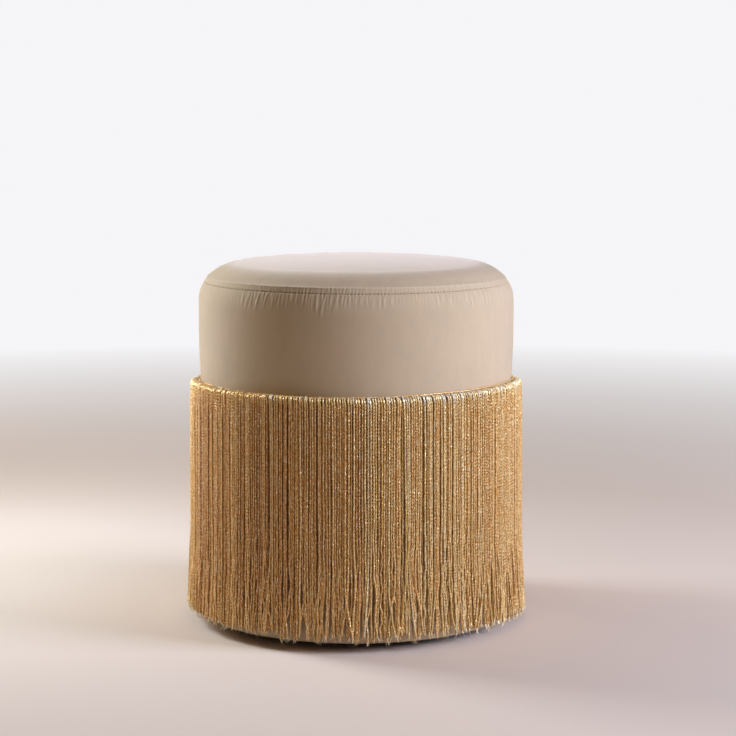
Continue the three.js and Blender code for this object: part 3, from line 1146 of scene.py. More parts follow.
@dataclass
class SeamRelief:
    """The relief of the sewn edge: ridge, valley, stitched groove, holes, puckers and back seam."""

    outline: CoverOutline
    crest_height: float = 1.5 * MM
    crest_above: float = 4.5 * MM
    crest_below: float = 4 * MM
    crest_round: float = 0.5 * MM
    lip_height: float = 0.4 * MM
    lip_width: float = 0.6 * MM
    tightest_at: float = math.radians(-110)
    tightness_mean: float = 0.62
    tightness_swing: float = 0.38
    slack_places: tuple[Place, ...] = (Place(-15, 32, 0.35), Place(175, 34, 0.4))
    groove_depth: float = 0.55 * MM
    groove_width: float = 0.8 * MM
    stitch_count: int = 266
    dent_depth: float = 0.5 * MM
    dent_width: float = 0.75 * MM
    back_seam_depth: float = 0.8 * MM
    back_seam_width: float = 0.9 * MM
    back_seam_start: float = 2 * MM
    back_lip_share: float = 0.35
    back_lip_at: float = 2.2 * MM
    back_lip_width: float = 1.2 * MM
    # How strongly the fold values paint a highlight on the seam's lip and paint shade in the stitch groove
    # and the back seam.
    lip_highlight: float = 1.25
    lip_highlight_width: float = 1.3
    groove_shade: float = 0.45
    full_fold: float = 0.45 * MM
    joint_shade: float = 1.2

    def __post_init__(self) -> None:
        """Lays out the puckers."""
        self.puckers = Puckers(self.outline.radius)

    def at(self, runs: Array, angles: Array) -> Array:
        """Height of the relief over the smooth cover.

        Args:
            runs: Places along the outline.
            angles: Places round the axis.

        Returns:
            A row for each run and a column for each angle.
        """
        below, stitch = self.distances(runs)
        tightness = self.tightness(angles)[None]
        reach = np.where(below < 0, self.crest_above, self.crest_below)
        away = np.sqrt(below**2 + self.crest_round**2) - self.crest_round
        crest = self.crest_height * np.exp(-away / reach) + self.lip_height * hump(below, self.lip_width)
        total = crest[:, None] * tightness
        total -= self.groove_depth * hump(stitch, self.groove_width)[:, None] * tightness
        total -= self.dents(stitch, angles)
        total += self.puckers.at(below, stitch, angles)
        total -= self.back_seam(below, angles)
        return total

    def folds(self, runs: Array, angles: Array) -> Array:
        """Painted light and shade on the velvet, up to 1 for a painted highlight on raised folds and the
        seam's lip, down to -1 for painted shade in creases, the groove, stitch holes and the back seam.

        Args:
            runs: Places along the outline.
            angles: Places round the axis.

        Returns:
            A row for each run and a column for each angle.
        """
        below, stitch = self.distances(runs)
        tightness = self.tightness(angles)[None]
        # Painted highlight on the lip and on pucker crests; painted shade in the groove, stitch holes,
        # pucker valleys and the back seam.
        lip = self.lip_highlight * hump(below, self.lip_highlight_width * self.lip_width)[:, None] * tightness**2
        groove = self.groove_shade * hump(stitch, self.groove_width)[:, None] * tightness
        holes = self.dents(stitch, angles) / self.dent_depth
        creases = self.puckers.at(below, stitch, angles) / self.full_fold
        joint = self.joint_shade * self.back_seam(below, angles) / self.back_seam_depth
        return (lip - groove - holes + creases - joint).clip(-1, 1)

    def distances(self, runs: Array) -> tuple[Array, Array]:
        """How far places along the outline lie below the seam and below the stitches."""
        return runs - self.outline.seam_run, runs - self.outline.stitch_run

    def tightness(self, angles: Array) -> Array:
        """How sharply the seam stands out at each angle, 1 where it is tightest."""
        slack = sum(place.at(angles) for place in self.slack_places)
        return self.tightness_mean + self.tightness_swing * np.cos(angles - self.tightest_at) - slack

    def dents(self, stitch: Array, angles: Array) -> Array:
        """The holes in which the stitches end.

        Args:
            stitch: Distance of each row below the stitches.
            angles: Angle of each column.

        Returns:
            Depths as (rows, columns).
        """
        pitch = FULL_TURN / self.stitch_count
        along = turn_between(angles / pitch * FULL_TURN, 0.0) / FULL_TURN * pitch * self.outline.radius
        across = hump(stitch, self.dent_width)[:, None]
        return self.dent_depth * across * hump(along, self.dent_width)[None]

    def back_seam(self, below: Array, angles: Array) -> Array:
        """The upright seam that joins the ends of the band, at the back.

        Args:
            below: Distance of each row below the seam on the shoulder.
            angles: Angle of each column.

        Returns:
            Depths as (rows, columns).
        """
        offset = turn_between(angles, BACK) * self.outline.radius
        valley = hump(offset, self.back_seam_width) * self.back_seam_depth
        lip = hump(np.abs(offset) - self.back_lip_at, self.back_lip_width)
        lips = self.back_lip_share * self.back_seam_depth * lip
        return smooth_step(below / self.back_seam_start)[:, None] * (valley - lips)[None]


@dataclass
class VelvetCover:
    """The velvet: a top panel and a side band, sewn together on the shoulder and topstitched."""

    outline: CoverOutline
    form: CoverForm
    relief: SeamRelief
    thickness: float = 1.5 * MM
    fine_columns: int = 1440
    middle_columns: int = 720
    coarse_columns: int = 360
    seam_gap: float = 0.05 * MM
    seam_allowance: float = 10 * MM
    back_seam_allowance: float = 20 * MM
    hole_reach: float = 0.1
    stitch_length: float = 2.9 * MM
    stitch_radius: float = 0.33 * MM
    stitch_sides: int = 6
    stitch_rows: int = 7
    stitch_rise: float = 0.55
    stitch_dive: float = 1.1
    stitch_sunk: float = 0.8
    stitch_blunt: float = 1.02
    dive_power: int = 4
    blunt_power: int = 6
    dome_rings: Rings = (4 * MM, 110 * MM, 22)
    rim_start: float = 113 * MM
    rim_before_seam: float = 12 * MM
    rim_rings: int = 14
    top_near_seam_mm: tuple[Rings, ...] = ((11, 4, 10), (3.5, 0, 10))
    top_back_near_seam_mm: Span = (8, 24)
    top_back_mm: tuple[float, ...] = (110, 80, 50, 25, 0)
    side_near_seam_mm: tuple[tuple[float, float, float], ...] = ((0, 9, 0.5), (9, 20, 1.2), (20.5, 36, 2))
    side_back_near_seam_mm: tuple[float, ...] = (30, 20, 12, 6, 2.5, 0)
    plain_start: float = 39 * MM
    plain_past_tape: float = 12 * MM
    plain_step: float = 6 * MM
    plain_skip: int = 4
    covered_gap: float = 12 * MM
    covered_rings: int = 14
    covered_skip: int = 3
    hem_clear: float = 14 * MM
    hem_reach: float = 6 * MM
    hem_rings: int = 9
    hem_back: float = 3 * MM
    under_start: float = 10 * MM
    under_rings: int = 4

    def rings(self, runs: Array, columns: int, depth: float) -> list[Array]:
        """Rings of points on the cover's face, or a depth under it.

        Args:
            runs: Places along the outline, one for each ring.
            columns: Points in each ring.
            depth: How far under the face they lie.

        Returns:
            The rings.
        """
        angles = round_angles(columns)
        place, facing = self.outline.at(runs)
        height = self.form.at(runs, angles) - depth
        if depth == 0:
            height = height + self.relief.at(runs, angles)
        spot = place[:, None] + facing[:, None] * height[..., None]
        return list(turned_points(spot, angles[None]))

    def fold_light_values(self, runs: Array, columns: int, depth: float) -> Array:
        """Painted light and shade at each point of some rings; none on the back of the cloth.

        Args:
            runs: Places along the outline, one for each ring.
            columns: Points in each ring.
            depth: How far under the face they lie.

        Returns:
            The values as (rings, columns).
        """
        if depth > 0:
            return np.zeros((len(runs), columns))
        return self.relief.folds(runs, round_angles(columns))

    def panel(self, name: str, bands: list[tuple[Array, int, float]], node: str) -> Object:
        """Makes one panel of velvet as a closed skin.

        Args:
            name: Name of the piece.
            bands: Stretches of rings as (runs, columns, depth), from the face round to the back.
            node: The CAD node that it stands for.

        Returns:
            The piece.
        """
        rings = [ring for band in bands for ring in self.rings(*band)]
        # The painted light and shade of every ring, stored as the velvet's fold value.
        folds = [row for band in bands for row in self.fold_light_values(*band)]
        closed = bands[0][0][0] > 0
        if not closed:
            rings[0], rings[-1] = rings[0].mean(0, keepdims=True), rings[-1].mean(0, keepdims=True)
            folds[0], folds[-1] = folds[0][:1], folds[-1][:1]
        shape = join_rings(rings, self.hole_reach if closed else 0.0, closed)
        piece = make_piece(name, *shape, VELVET, {"fold": np.concatenate(folds)})
        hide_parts(node)
        return piece

    def top_panel(self) -> Object:
        """The domed panel inside the seam.

        Returns:
            The piece.
        """
        edge = self.outline.seam_run - self.seam_gap
        dome = np.concatenate([[0], np.geomspace(*self.dome_rings)])
        rim = np.linspace(self.rim_start, edge - self.rim_before_seam, self.rim_rings)
        near_seam = edge - np.concatenate([np.linspace(*part) for part in self.top_near_seam_mm]) * MM
        near_back = edge - np.array(self.top_back_near_seam_mm) * MM
        back = np.concatenate([near_back, np.array(self.top_back_mm) * MM])
        bands = [
            (dome, self.coarse_columns, 0.0),
            (rim, self.middle_columns, 0.0),
            (near_seam, self.fine_columns, 0.0),
            (np.array([edge]), self.middle_columns, self.thickness),
            (back, self.coarse_columns, self.thickness),
        ]
        piece = self.panel("velvet_top_panel", bands, "top_panel")
        return piece

    def side_band(self) -> Object:
        """The band round the side, from the seam to its end under the base.

        Returns:
            The piece.
        """
        edge = self.outline.seam_run + self.seam_gap
        hem = self.outline.hem_run
        near_seam = edge + np.concatenate([np.arange(*part) for part in self.side_near_seam_mm]) * MM
        plain_end = self.form.heading_run + self.plain_past_tape
        plain = np.arange(edge + self.plain_start, plain_end, self.plain_step)
        covered = np.linspace(plain[-1] + self.covered_gap, hem - self.hem_clear, self.covered_rings)
        corner = np.linspace(hem - self.hem_reach, hem + self.hem_reach, self.hem_rings)
        under = np.linspace(hem + self.under_start, self.outline.end_run, self.under_rings)
        fewer = covered[:: -self.covered_skip], plain[:: -self.plain_skip]
        back = np.concatenate([under[:0:-1], [hem + self.hem_back, hem], *fewer])
        near_back = edge + np.array(self.side_back_near_seam_mm) * MM
        bands = [
            (near_seam, self.fine_columns, 0.0),
            (plain, self.middle_columns, 0.0),
            (np.concatenate([covered, corner, under]), self.middle_columns, 0.0),
            (np.concatenate([back, near_back[:-1]]), self.coarse_columns, self.thickness),
            (near_back[-1:], self.middle_columns, self.thickness),
        ]
        return self.panel("velvet_side_band", bands, "side_band")

    def topstitch(self) -> Object:
        """The row of stitches under the seam, each a short length of thread that dives at its ends.

        Returns:
            The piece.
        """
        count = self.relief.stitch_count
        middles = (np.arange(count) + 0.5) / count * FULL_TURN
        shares = np.linspace(-1, 1, self.stitch_rows)
        place, facing = self.outline.at(np.array([self.outline.stitch_run]))
        across = np.array([facing[0, 1], -facing[0, 0]])
        half = self.stitch_length / 2 / place[0, 0]
        arch = (self.stitch_rise - self.stitch_dive * np.abs(shares) ** self.dive_power) * self.stitch_radius
        lift = arch - self.relief.groove_depth * self.stitch_sunk
        thick = self.stitch_radius * np.sqrt(self.stitch_blunt - np.abs(shares) ** self.blunt_power)
        angles = middles[:, None] + shares[None] * half
        sides = round_angles(self.stitch_sides)
        out = lift[:, None] + thick[:, None] * np.cos(sides)[None]
        over = thick[:, None] * np.sin(sides)[None]
        spot = place[0] + out[..., None] * facing[0] + over[..., None] * across
        points = turned_points(spot[None], np.broadcast_to(angles[..., None], (count, *out.shape)))
        faces = tube_faces(count, len(shares), self.stitch_sides)
        return make_piece("topstitch", points, faces, THREAD)


@dataclass(frozen=True)
class Cord:
    """A twisted cord: its plies, thickness and lay, and how unevenly it is twisted."""

    plies: int
    lobe: float
    valley: float
    lay: float
    rows_a_turn: int
    twist_spread: float = 0.14
    twist_lobes: int = 5
    slack_turn: float = 0.9
    slack_lobes: int = 3
    slack_length: float = 17 * MM

    @property
    def row_step(self) -> float:
        """Length of cord between two rings of points."""
        return self.lay / self.rows_a_turn

    def sweep(self, path: Array, across: Array, phases: Array, swell: Array) -> Array:
        """Winds the cord's section along paths.

        Args:
            path: Points of each path, as (cords, rows, 3).
            across: The sideways direction of each path, as (cords, 1, 3).
            phases: Turn of each cord's first ring.
            swell: Factor on the thickness of each ring, as (cords, rows).

        Returns:
            Points as (cords, rows, twice the plies, 3).
        """
        along = np.gradient(path, axis=1)
        along /= np.linalg.norm(along, axis=-1, keepdims=True)
        side = across - (across * along).sum(-1, keepdims=True) * along
        side /= np.linalg.norm(side, axis=-1, keepdims=True)
        out = np.cross(along, side)
        phase = phases[:, None]
        tightness = 1 + self.twist_spread * np.cos(self.twist_lobes * phase)
        slack = self.slack_turn * np.sin(path[..., 2] / self.slack_length + self.slack_lobes * phase)
        turn = phase + np.arange(path.shape[1])[None] / self.rows_a_turn * FULL_TURN * tightness + slack
        corners = np.arange(2 * self.plies)
        angle = turn[..., None] + corners * math.pi / self.plies
        radius = np.where(corners % 2 == 0, self.lobe, self.valley) * swell[..., None]
        return (
            path[:, :, None]
            + (radius * np.cos(angle))[..., None] * out[:, :, None]
            + (radius * np.sin(angle))[..., None] * side[:, :, None]
        )


@dataclass
class Heading:
    """The top of the fringe: the woven tape that carries the cords, and the fine cord that lies on it."""

    outline: CoverOutline
    top: float = 269 * MM
    height: float = 13 * MM
    thickness: float = 1.4 * MM
    sunk: float = 1.5 * MM
    edge: float = 0.5 * MM
    columns: int = 360
    pull_below: float = 3 * MM
    droop_depth: float = 5 * MM
    droop_start: float = math.radians(68)
    droop_ease: float = math.radians(35)
    cord: Cord = Cord(2, 1.0 * MM, 0.72 * MM, 5 * MM, 6)
    cord_sunk: float = 0.1 * MM
    cord_ends: Span = (0.002, 0.998)
    cord_above: float = 0.4 * MM
    cord_tone: float = 0.42
    # Ply values of the fine cord: painted shade in its valleys, less on its crests.
    cord_valley: float = 0.55
    cord_lobe: float = 0.35
    shows_at: float = -0.5
    shows_height: float = 2.1 * MM
    shows_slope: float = 1.2
    shows_start: float = 0.3
    wave_height: float = 0.2 * MM
    waves: tuple[int, int] = (17, 5)
    tape_reach: float = 0.3

    def droop(self, angles: Array) -> Array:
        """How far the fringe's top sinks at the sides and the back."""
        away = np.abs(turn_between(angles, FRONT))
        return self.droop_depth * smooth_step((away - self.droop_start) / self.droop_ease)

    def tape(self) -> Object:
        """The woven tape that carries the cords.

        Returns:
            The piece.
        """
        inner = self.outline.radius - self.sunk
        outer = inner + self.thickness
        low, high = self.top - self.height, self.top
        outline = [
            (inner, high - self.edge),
            (inner + self.edge, high),
            (outer - self.edge, high),
            (outer, high - self.edge),
            (outer, (low + high) / 2),
            (outer, low + self.edge),
            (outer - self.edge, low),
            (inner + self.edge, low),
            (inner, low + self.edge),
        ]
        angles = round_angles(self.columns)
        rings = turned_points(np.array(outline)[:, None], angles[None])
        rings[..., 2] -= self.droop(angles)
        shape = join_rings(list(rings), self.tape_reach, closed=True)
        return make_piece("fringe_heading_tape", *shape, TAPE)

    def line(self) -> Object:
        """The fine cord that lies on the tape, against the velvet.

        Returns:
            The piece.
        """
        radius = self.outline.radius - self.cord_sunk
        rows = round(FULL_TURN * radius / self.cord.row_step)
        angles = BACK + np.linspace(*self.cord_ends, rows)[None] * FULL_TURN
        shown = smooth_step(self.shows_slope * np.cos(angles - self.shows_at) - self.shows_start)
        height = self.top + self.cord_above + self.shows_height * shown - self.droop(angles)
        many, few = self.waves
        height = height + self.wave_height * np.sin(many * angles) * np.sin(few * angles)
        path = turned_points(np.stack([radius + 0 * angles, height], -1), angles)
        upward = np.array([[[0.0, 0.0, 1.0]]])
        points = self.cord.sweep(path, upward, np.zeros(1), np.ones((1, rows)))
        corners = points.shape[2]
        lobes = (np.arange(corners) % 2 == 0)[None] * np.ones((rows, 1))
        # The ply value paints shade in the valleys between the fine cord's plies.
        values = {
            "tone": np.full((rows, corners), self.cord_tone),
            "ply": self.cord_valley + self.cord_lobe * lobes,
        }
        faces = tube_faces(1, rows, corners)
        return make_piece("fringe_top_line", points, faces, GOLD_CORD, values)


@dataclass
class Gathers:
    """What pushes the fringe's cords aside: gaps that open downwards, and waves that make tufts."""

    random: np.random.Generator
    circle: float
    top: float
    gap_count: int = 26
    gap_stray: float = 0.4
    gap_shape: float = 1.6
    gap_scale: float = 0.42
    gap_tops_mm: Span = (150, 262)
    front_reach: float = math.radians(50)
    front_share: float = 0.3
    seen_gaps: tuple[Span, ...] = (
        (-29.7, 0.9),
        (-20.7, 0.8),
        (-8.0, 0.6),
        (14.8, 2.6),
        (22.7, 1.1),
        (28.8, 0.9),
        (41.1, 0.8),
    )
    seen_above: float = 20 * MM
    gap_reach: float = 7 * MM
    gap_ease: float = 70 * MM
    floor_ease: Span = (30 * MM, 60 * MM)
    wave_count: int = 16
    waves_round: tuple[int, int] = (20, 160)
    wave_lengths_mm: Span = (18, 70)
    wave_size: float = 14
    wave_start: float = 10 * MM
    wave_ease: float = 200 * MM

    def __post_init__(self) -> None:
        """Draws the gaps and the waves."""
        random = self.random
        strays = random.uniform(-self.gap_stray, self.gap_stray, self.gap_count)
        angles = (np.arange(self.gap_count) + strays) * (FULL_TURN / self.gap_count)
        widths = random.gamma(self.gap_shape, self.gap_scale, self.gap_count) * MM
        widths[np.abs(turn_between(angles, FRONT)) < self.front_reach] *= self.front_share
        seen = np.array(self.seen_gaps)
        self.gap_angles = np.concatenate([angles, FRONT + np.radians(seen[:, 0])])
        self.gap_widths = np.concatenate([widths, seen[:, 1] * MM])
        self.gap_tops = random.uniform(*self.gap_tops_mm, len(self.gap_angles)) * MM
        self.gap_tops[self.gap_count :] = self.top + self.seen_above
        self.waves = [
            (
                int(random.integers(*self.waves_round)),
                random.uniform(0, FULL_TURN),
                random.uniform(*self.wave_lengths_mm) * MM,
                random.uniform(0, FULL_TURN),
            )
            for _ in range(self.wave_count)
        ]

    def at(self, angles: Array, height: Array) -> Array:
        """How far cords are pushed aside, in metres.

        Args:
            angles: Angle of each cord, as (cords, 1).
            height: Heights along it, as (cords, rows).

        Returns:
            The sideways shifts, as (cords, rows).
        """
        total = np.zeros(height.shape)
        below, ease = self.floor_ease
        for angle, width, top in zip(self.gap_angles, self.gap_widths, self.gap_tops):
            offset = turn_between(angles, angle) * self.circle
            opening = smooth_step((top - height) / self.gap_ease) * smooth_step((height + below) / ease)
            total += np.sign(offset) * width * np.exp(-np.abs(offset) / self.gap_reach) * opening
        low = smooth_step((self.top - self.wave_start - height) / self.wave_ease)
        for count, phase, length, shift in self.waves:
            size = self.wave_size / count * MM
            total += size * low * np.sin(count * angles + phase) * np.sin(height / length + shift)
        return total


@dataclass(frozen=True)
class LayerPlan:
    """What the two layers of cords don't share."""

    cord: Cord
    circle: float
    count: int
    parts: int
    offset: float
    follows: float


@dataclass
class Fringe:
    """The deep fringe: its heading, and two layers of hanging cords with frayed ends."""

    heading: Heading
    outer: LayerPlan = LayerPlan(Cord(3, 1.27 * MM, 0.86 * MM, 10 * MM, 9), 183.9 * MM, 400, 8, 0.25, 1.0)
    inner: LayerPlan = LayerPlan(Cord(2, 1.4 * MM, 1.1 * MM, 12 * MM, 5), 181.5 * MM, 420, 2, 0.75, 0.12)
    first_angle: float = 3 * math.pi / 4
    spacing_jitter: float = 0.14
    loop_top: float = 270.1 * MM
    loop_radius: float = 3.9 * MM
    loop_lean: float = 1.9 * MM
    loop_leans: Span = (0.4, 1.3)
    loop_rise_mm: float = 0.35
    lean_ease: float = 3 * MM
    back_leg: float = 6 * MM
    inner_start: float = 5 * MM
    end_height: float = 17 * MM
    end_spread: float = 5.5 * MM
    end_shares: tuple[float, float, float] = (-1.1, 0, 1)
    belly: float = 0.9 * MM
    flare: float = 4.3 * MM
    flare_power: float = 1.5
    flare_most: float = 1.1
    spread_start: float = 115 * MM
    longer: Place = Place(-12, 22, 4 * MM)
    own_depth_mm: float = 0.4
    own_depth_ease: float = 30 * MM
    firm: float = 0.12
    loose: float = 0.88
    loose_start: float = 190 * MM
    loose_ease: float = 170 * MM
    bends_mm: tuple[tuple[float, float, float], ...] = ((55, 110, 0.6), (22, 45, 0.42), (9, 16, 0.22))
    splay_starts_mm: Span = (60, 120)
    splay_power: float = 1.7
    stray_mm: float = 1.55
    crossing_share: float = 0.14
    crossing_mm: Span = (4, 9)
    crossing_out_mm: float = 1.5
    stray_out_mm: float = 0.5
    thick_mean: float = 1.02
    thick_spread: float = 0.07
    thick_limits: Span = (0.86, 1.18)
    end_taper: float = 0.28
    end_taper_length: float = 2.5 * MM
    tone_mean: float = 0.42
    tone_spread: float = 0.12
    tone_wave: float = 0.06
    tone_wave_length: float = 31 * MM
    # Painted light and shade by place round the tuffet: cords lighter right of the front, where the key lamp
    # falls, and darker left of the front.
    painted_light_places: tuple[Place, ...] = (Place(-62, 24, 0.16), Place(-150, 20, -0.17), Place(-113, 20, -0.12))
    # Painted light: the inner cords are a little lighter in the shaded gaps between the outer cords.
    inner_tone: float = 0.1
    inner_most: float = 0.7
    outer_most: float = 0.8
    head_length: float = 30 * MM
    # Painted highlight on the loops over the tape: their tone is raised and their painted valley shade
    # lessened.
    head_highlight: float = 0.7
    head_ply: float = 0.55
    # Painted highlight on the cut ends, and painted light that makes the cords lighter towards their lower
    # ends.
    cut_highlight: float = 0.25
    low_tone: float = 0.1
    low_start: float = 75 * MM
    low_ease: float = 60 * MM
    tip_fibres: int = 4
    tip_rows: int = 5
    tip_sides: int = 3
    tip_way_rows: int = 4
    tip_overlap: float = 1.5 * MM
    tip_spread: float = 0.32
    tip_lengths_mm: Span = (3, 6.5)
    tip_curl: float = 1.6
    tip_aside: float = 0.55 * MM
    tip_lowest: float = 6 * MM
    tip_radius: float = 0.34 * MM
    tip_taper: float = 0.55
    tip_tones: Span = (0.6, 1)
    seed: int = 20

    def __post_init__(self) -> None:
        """Lays out the gaps among the cords."""
        self.random = np.random.default_rng(self.seed)
        self.plans = {Layer.OUTER: self.outer, Layer.INNER: self.inner}
        self.gathers = Gathers(self.random, self.outer.circle, self.loop_top)
        self.tips: list[tuple[Array, Array, Array]] = []

    def drawn(self, spread_mm: float, count: int) -> Array:
        """A random shift for each cord, either way, in metres, as (cords, 1)."""
        return self.random.normal(0, spread_mm, (count, 1)) * MM

    def wander(self, count: int, height: Array) -> Array:
        """Each cord's own bends, slight at the top and looser towards the ends.

        Args:
            count: How many cords.
            height: Heights along them, as (cords, rows).

        Returns:
            The sideways shifts, as (cords, rows).
        """
        loose = self.firm + self.loose * smooth_step((self.loose_start - height) / self.loose_ease)
        total = np.zeros(height.shape)
        for shortest, longest, size in self.bends_mm:
            length = self.random.uniform(shortest, longest, (count, 1)) * MM
            phase = self.random.uniform(0, FULL_TURN, (count, 1))
            amount = self.drawn(size, count)
            total += amount * loose * np.sin(height / length * FULL_TURN + phase)
        return total

    def splay(self, height: Array, ends: Array) -> tuple[Array, Array]:
        """How the ends stray: a little each, and a few right across their neighbours.

        Args:
            height: Heights along the cords, as (cords, rows).
            ends: Height of each end.

        Returns:
            The sideways and the outward shifts, as (cords, rows).
        """
        random, count = self.random, len(ends)
        start = random.uniform(*self.splay_starts_mm, (count, 1)) * MM
        share = np.clip((start - height) / (start - ends[:, None]), 0, 1)
        stray = self.drawn(self.stray_mm, count)
        crossing = random.random((count, 1)) < self.crossing_share
        far = random.choice([-1, 1], (count, 1)) * random.uniform(*self.crossing_mm, (count, 1)) * MM
        sideways = np.where(crossing, far, stray) * share**self.splay_power
        own = random.uniform(-self.stray_out_mm, self.stray_out_mm, (count, 1))
        outward = np.where(crossing, self.crossing_out_mm, own) * MM
        return sideways, outward * smooth_step(2 * share)

    def hang(self, layer: Layer, height: Array) -> Array:
        """Radius at which a layer hangs.

        Args:
            layer: The layer.
            height: Heights along its cords.

        Returns:
            The radius at each height.
        """
        down = smooth_step((self.loop_top - height) / (self.loop_top - self.spread_start))
        fall = (self.spread_start - height) / (self.spread_start - self.end_height)
        spread = np.clip(fall, 0, self.flare_most) ** self.flare_power
        return self.plans[layer].circle + self.belly * down + (self.flare - self.belly) * spread

    def paths(self, layer: Layer, angles: Array) -> tuple[Array, Array, Array]:
        """The middles of a part's cords.

        Args:
            layer: Their layer.
            angles: Angle of each cord.

        Returns:
            The points as (cords, rows, 3), the sideways ways as (cords, 1, 3), and the ends' heights.
        """
        random, count, plan = self.random, len(angles), self.plans[layer]
        looped = layer is Layer.OUTER
        ends = self.end_height + random.triangular(*self.end_shares, count) * self.end_spread
        ends = ends - self.longer.at(angles)
        top = self.loop_top - self.loop_radius if looped else self.heading.top - self.inner_start
        back_leg = self.back_leg if looped else 0.0
        loop = math.pi * self.loop_radius if looped else 0.0
        length = back_leg + loop + top - self.end_height
        run = np.linspace(0, 1, round(length / plan.cord.row_step))[None] * length + 0 * angles[:, None]
        hanging = np.clip(run - back_leg - loop, 0, None) / (top - self.end_height)
        height = top - hanging * (top - ends[:, None])
        radius = self.hang(layer, height)
        if looped:
            bend = np.clip((run - back_leg) / self.loop_radius, 0, math.pi)
            rise = self.drawn(self.loop_rise_mm, count)
            height = height + (self.loop_radius + rise) * np.sin(bend) - np.clip(back_leg - run, 0, None)
            radius = radius - self.loop_radius * (1 + np.cos(bend))
        height = height - self.heading.droop(angles[:, None]) * smooth_step(height / self.loop_top)
        over = np.clip((run - back_leg) / (loop + self.lean_ease), 0, 1)
        lean = self.loop_lean * random.uniform(*self.loop_leans, (count, 1)) * np.cos(over * math.pi / 2)
        sideways, outward = self.splay(height, ends)
        gathered = plan.follows * self.gathers.at(angles[:, None], height)
        sideways = sideways + gathered + self.wander(count, height)
        if looped:
            sideways = sideways - lean
        hung = smooth_step((top - height) / self.own_depth_ease)
        radius = radius + outward + self.drawn(self.own_depth_mm, count) * hung
        path = turned_points(np.stack([radius, height], -1), angles[:, None] + sideways / radius)
        across = np.stack([-np.sin(angles), np.cos(angles), 0 * angles], -1)[:, None]
        return path, across, ends

    def tones(
        self, layer: Layer, angles: Array, height: Array, waves: Array, above_end: Array
    ) -> Array:
        """How light each cord is along its length, with painted light and shade added.

        Args:
            layer: Their layer.
            angles: Angle of each cord.
            height: Heights along it, as (cords, rows).
            waves: Phase of its slow change of tone.
            above_end: 0 at its cut end and 1 above, as (cords, rows).

        Returns:
            The tones as (cords, rows).
        """
        own = self.random.normal(self.tone_mean, self.tone_spread, (len(angles), 1))
        tone = own + self.tone_wave * np.sin(height / self.tone_wave_length + waves[:, None])
        # Painted light and shade by place round the tuffet.
        for place in self.painted_light_places:
            tone = tone + place.at(angles)[:, None]
        # Painted light: the inner cords are a little lighter in the shaded gaps between the outer cords.
        if layer is Layer.INNER:
            return (tone + self.inner_tone).clip(0, self.inner_most)
        # Painted highlight on the loops over the tape.
        tone = tone.clip(0, self.outer_most) + self.head_highlight * self.heads(layer, height.shape[1])
        # Painted highlight on the cut ends, and painted light that makes the cords lighter towards their
        # lower ends.
        low = smooth_step((self.low_start - height) / self.low_ease)
        return tone + self.cut_highlight * (1 - above_end) + self.low_tone * low

    def heads(self, layer: Layer, rows: int) -> Array:
        """1 at the first row of a layer's cords, where they loop over the tape and get a painted highlight,
        and 0 further down.
        """
        return smooth_step(1 - np.arange(rows) * self.plans[layer].cord.row_step / self.head_length)

    def part(self, layer: Layer, number: int) -> Object:
        """Makes one part of a layer.

        Args:
            layer: The layer.
            number: Which part, from 0.

        Returns:
            The piece.
        """
        plan = self.plans[layer]
        each = plan.count // plan.parts
        index = number * each + np.arange(each)
        jitter = self.random.normal(0, self.spacing_jitter, each)
        angles = (index + plan.offset + jitter) / plan.count * FULL_TURN - self.first_angle
        path, across, ends = self.paths(layer, angles)
        rows, height = path.shape[1], path[..., 2]
        phases = self.random.uniform(0, FULL_TURN, each)
        thick = self.random.normal(self.thick_mean, self.thick_spread, (each, 1)).clip(*self.thick_limits)
        above_end = smooth_step((height - ends[:, None]) / self.end_taper_length)
        swell = thick * (1 - self.end_taper + self.end_taper * above_end)
        points = plan.cord.sweep(path, across, phases, swell)
        corners = points.shape[2]
        tone = self.tones(layer, angles, height, phases, above_end)[..., None]
        # The ply value paints shade: 0 in the valleys between plies, 1 on their crests.
        ply = (np.arange(corners) % 2 == 0)[None, None] * np.ones((each, rows, 1))
        if layer is Layer.OUTER:
            # Less painted valley shade on the loops, as part of their painted highlight.
            ply = np.maximum(ply, self.head_ply * self.heads(layer, rows)[None, :, None])
            ways = path[:, -1] - path[:, -self.tip_way_rows]
            self.tips.append((path[:, -1], ways, across[:, 0]))
        values = {"tone": np.broadcast_to(tone, (each, rows, corners)).clip(0, 1), "ply": ply}
        name = f"fringe_{layer.value}_cords_{number + 1}"
        return make_piece(name, points, tube_faces(each, rows, corners), GOLD_CORD, values)

    def frayed_tips(self) -> Object:
        """Loose filaments at the cut ends of the outer cords.

        Returns:
            The piece.
        """
        ends, ways, across = (np.concatenate(group) for group in zip(*self.tips))
        ways = ways / np.linalg.norm(ways, axis=-1, keepdims=True)
        outs = np.cross(ways, across)
        each, rows, sides = self.tip_fibres, self.tip_rows, self.tip_sides
        count = len(ends) * each
        start = np.repeat(ends - self.tip_overlap * ways, each, 0)
        way, side, out = (np.repeat(group, each, 0) for group in (ways, across, outs))
        spread = self.random.normal(0, self.tip_spread, (count, 2))
        length = self.random.uniform(*self.tip_lengths_mm, (count, 1, 1)) * MM
        share = np.linspace(0, 1, rows)[None, :, None]
        aside = side * spread[:, :1] + out * spread[:, 1:]
        path = start[:, None] + length * (share * way[:, None] + share**self.tip_curl * aside[:, None])
        path = path + self.tip_aside * (aside / np.linalg.norm(aside, axis=-1, keepdims=True))[:, None]
        path[..., 2] = path[..., 2].clip(self.tip_lowest)
        radius = self.tip_radius * (1 - self.tip_taper * share)
        turn = round_angles(sides)[None, None, :, None]
        points = (
            path[:, :, None]
            + radius[..., None] * np.cos(turn) * out[:, None, None]
            + radius[..., None] * np.sin(turn) * side[:, None, None]
        )
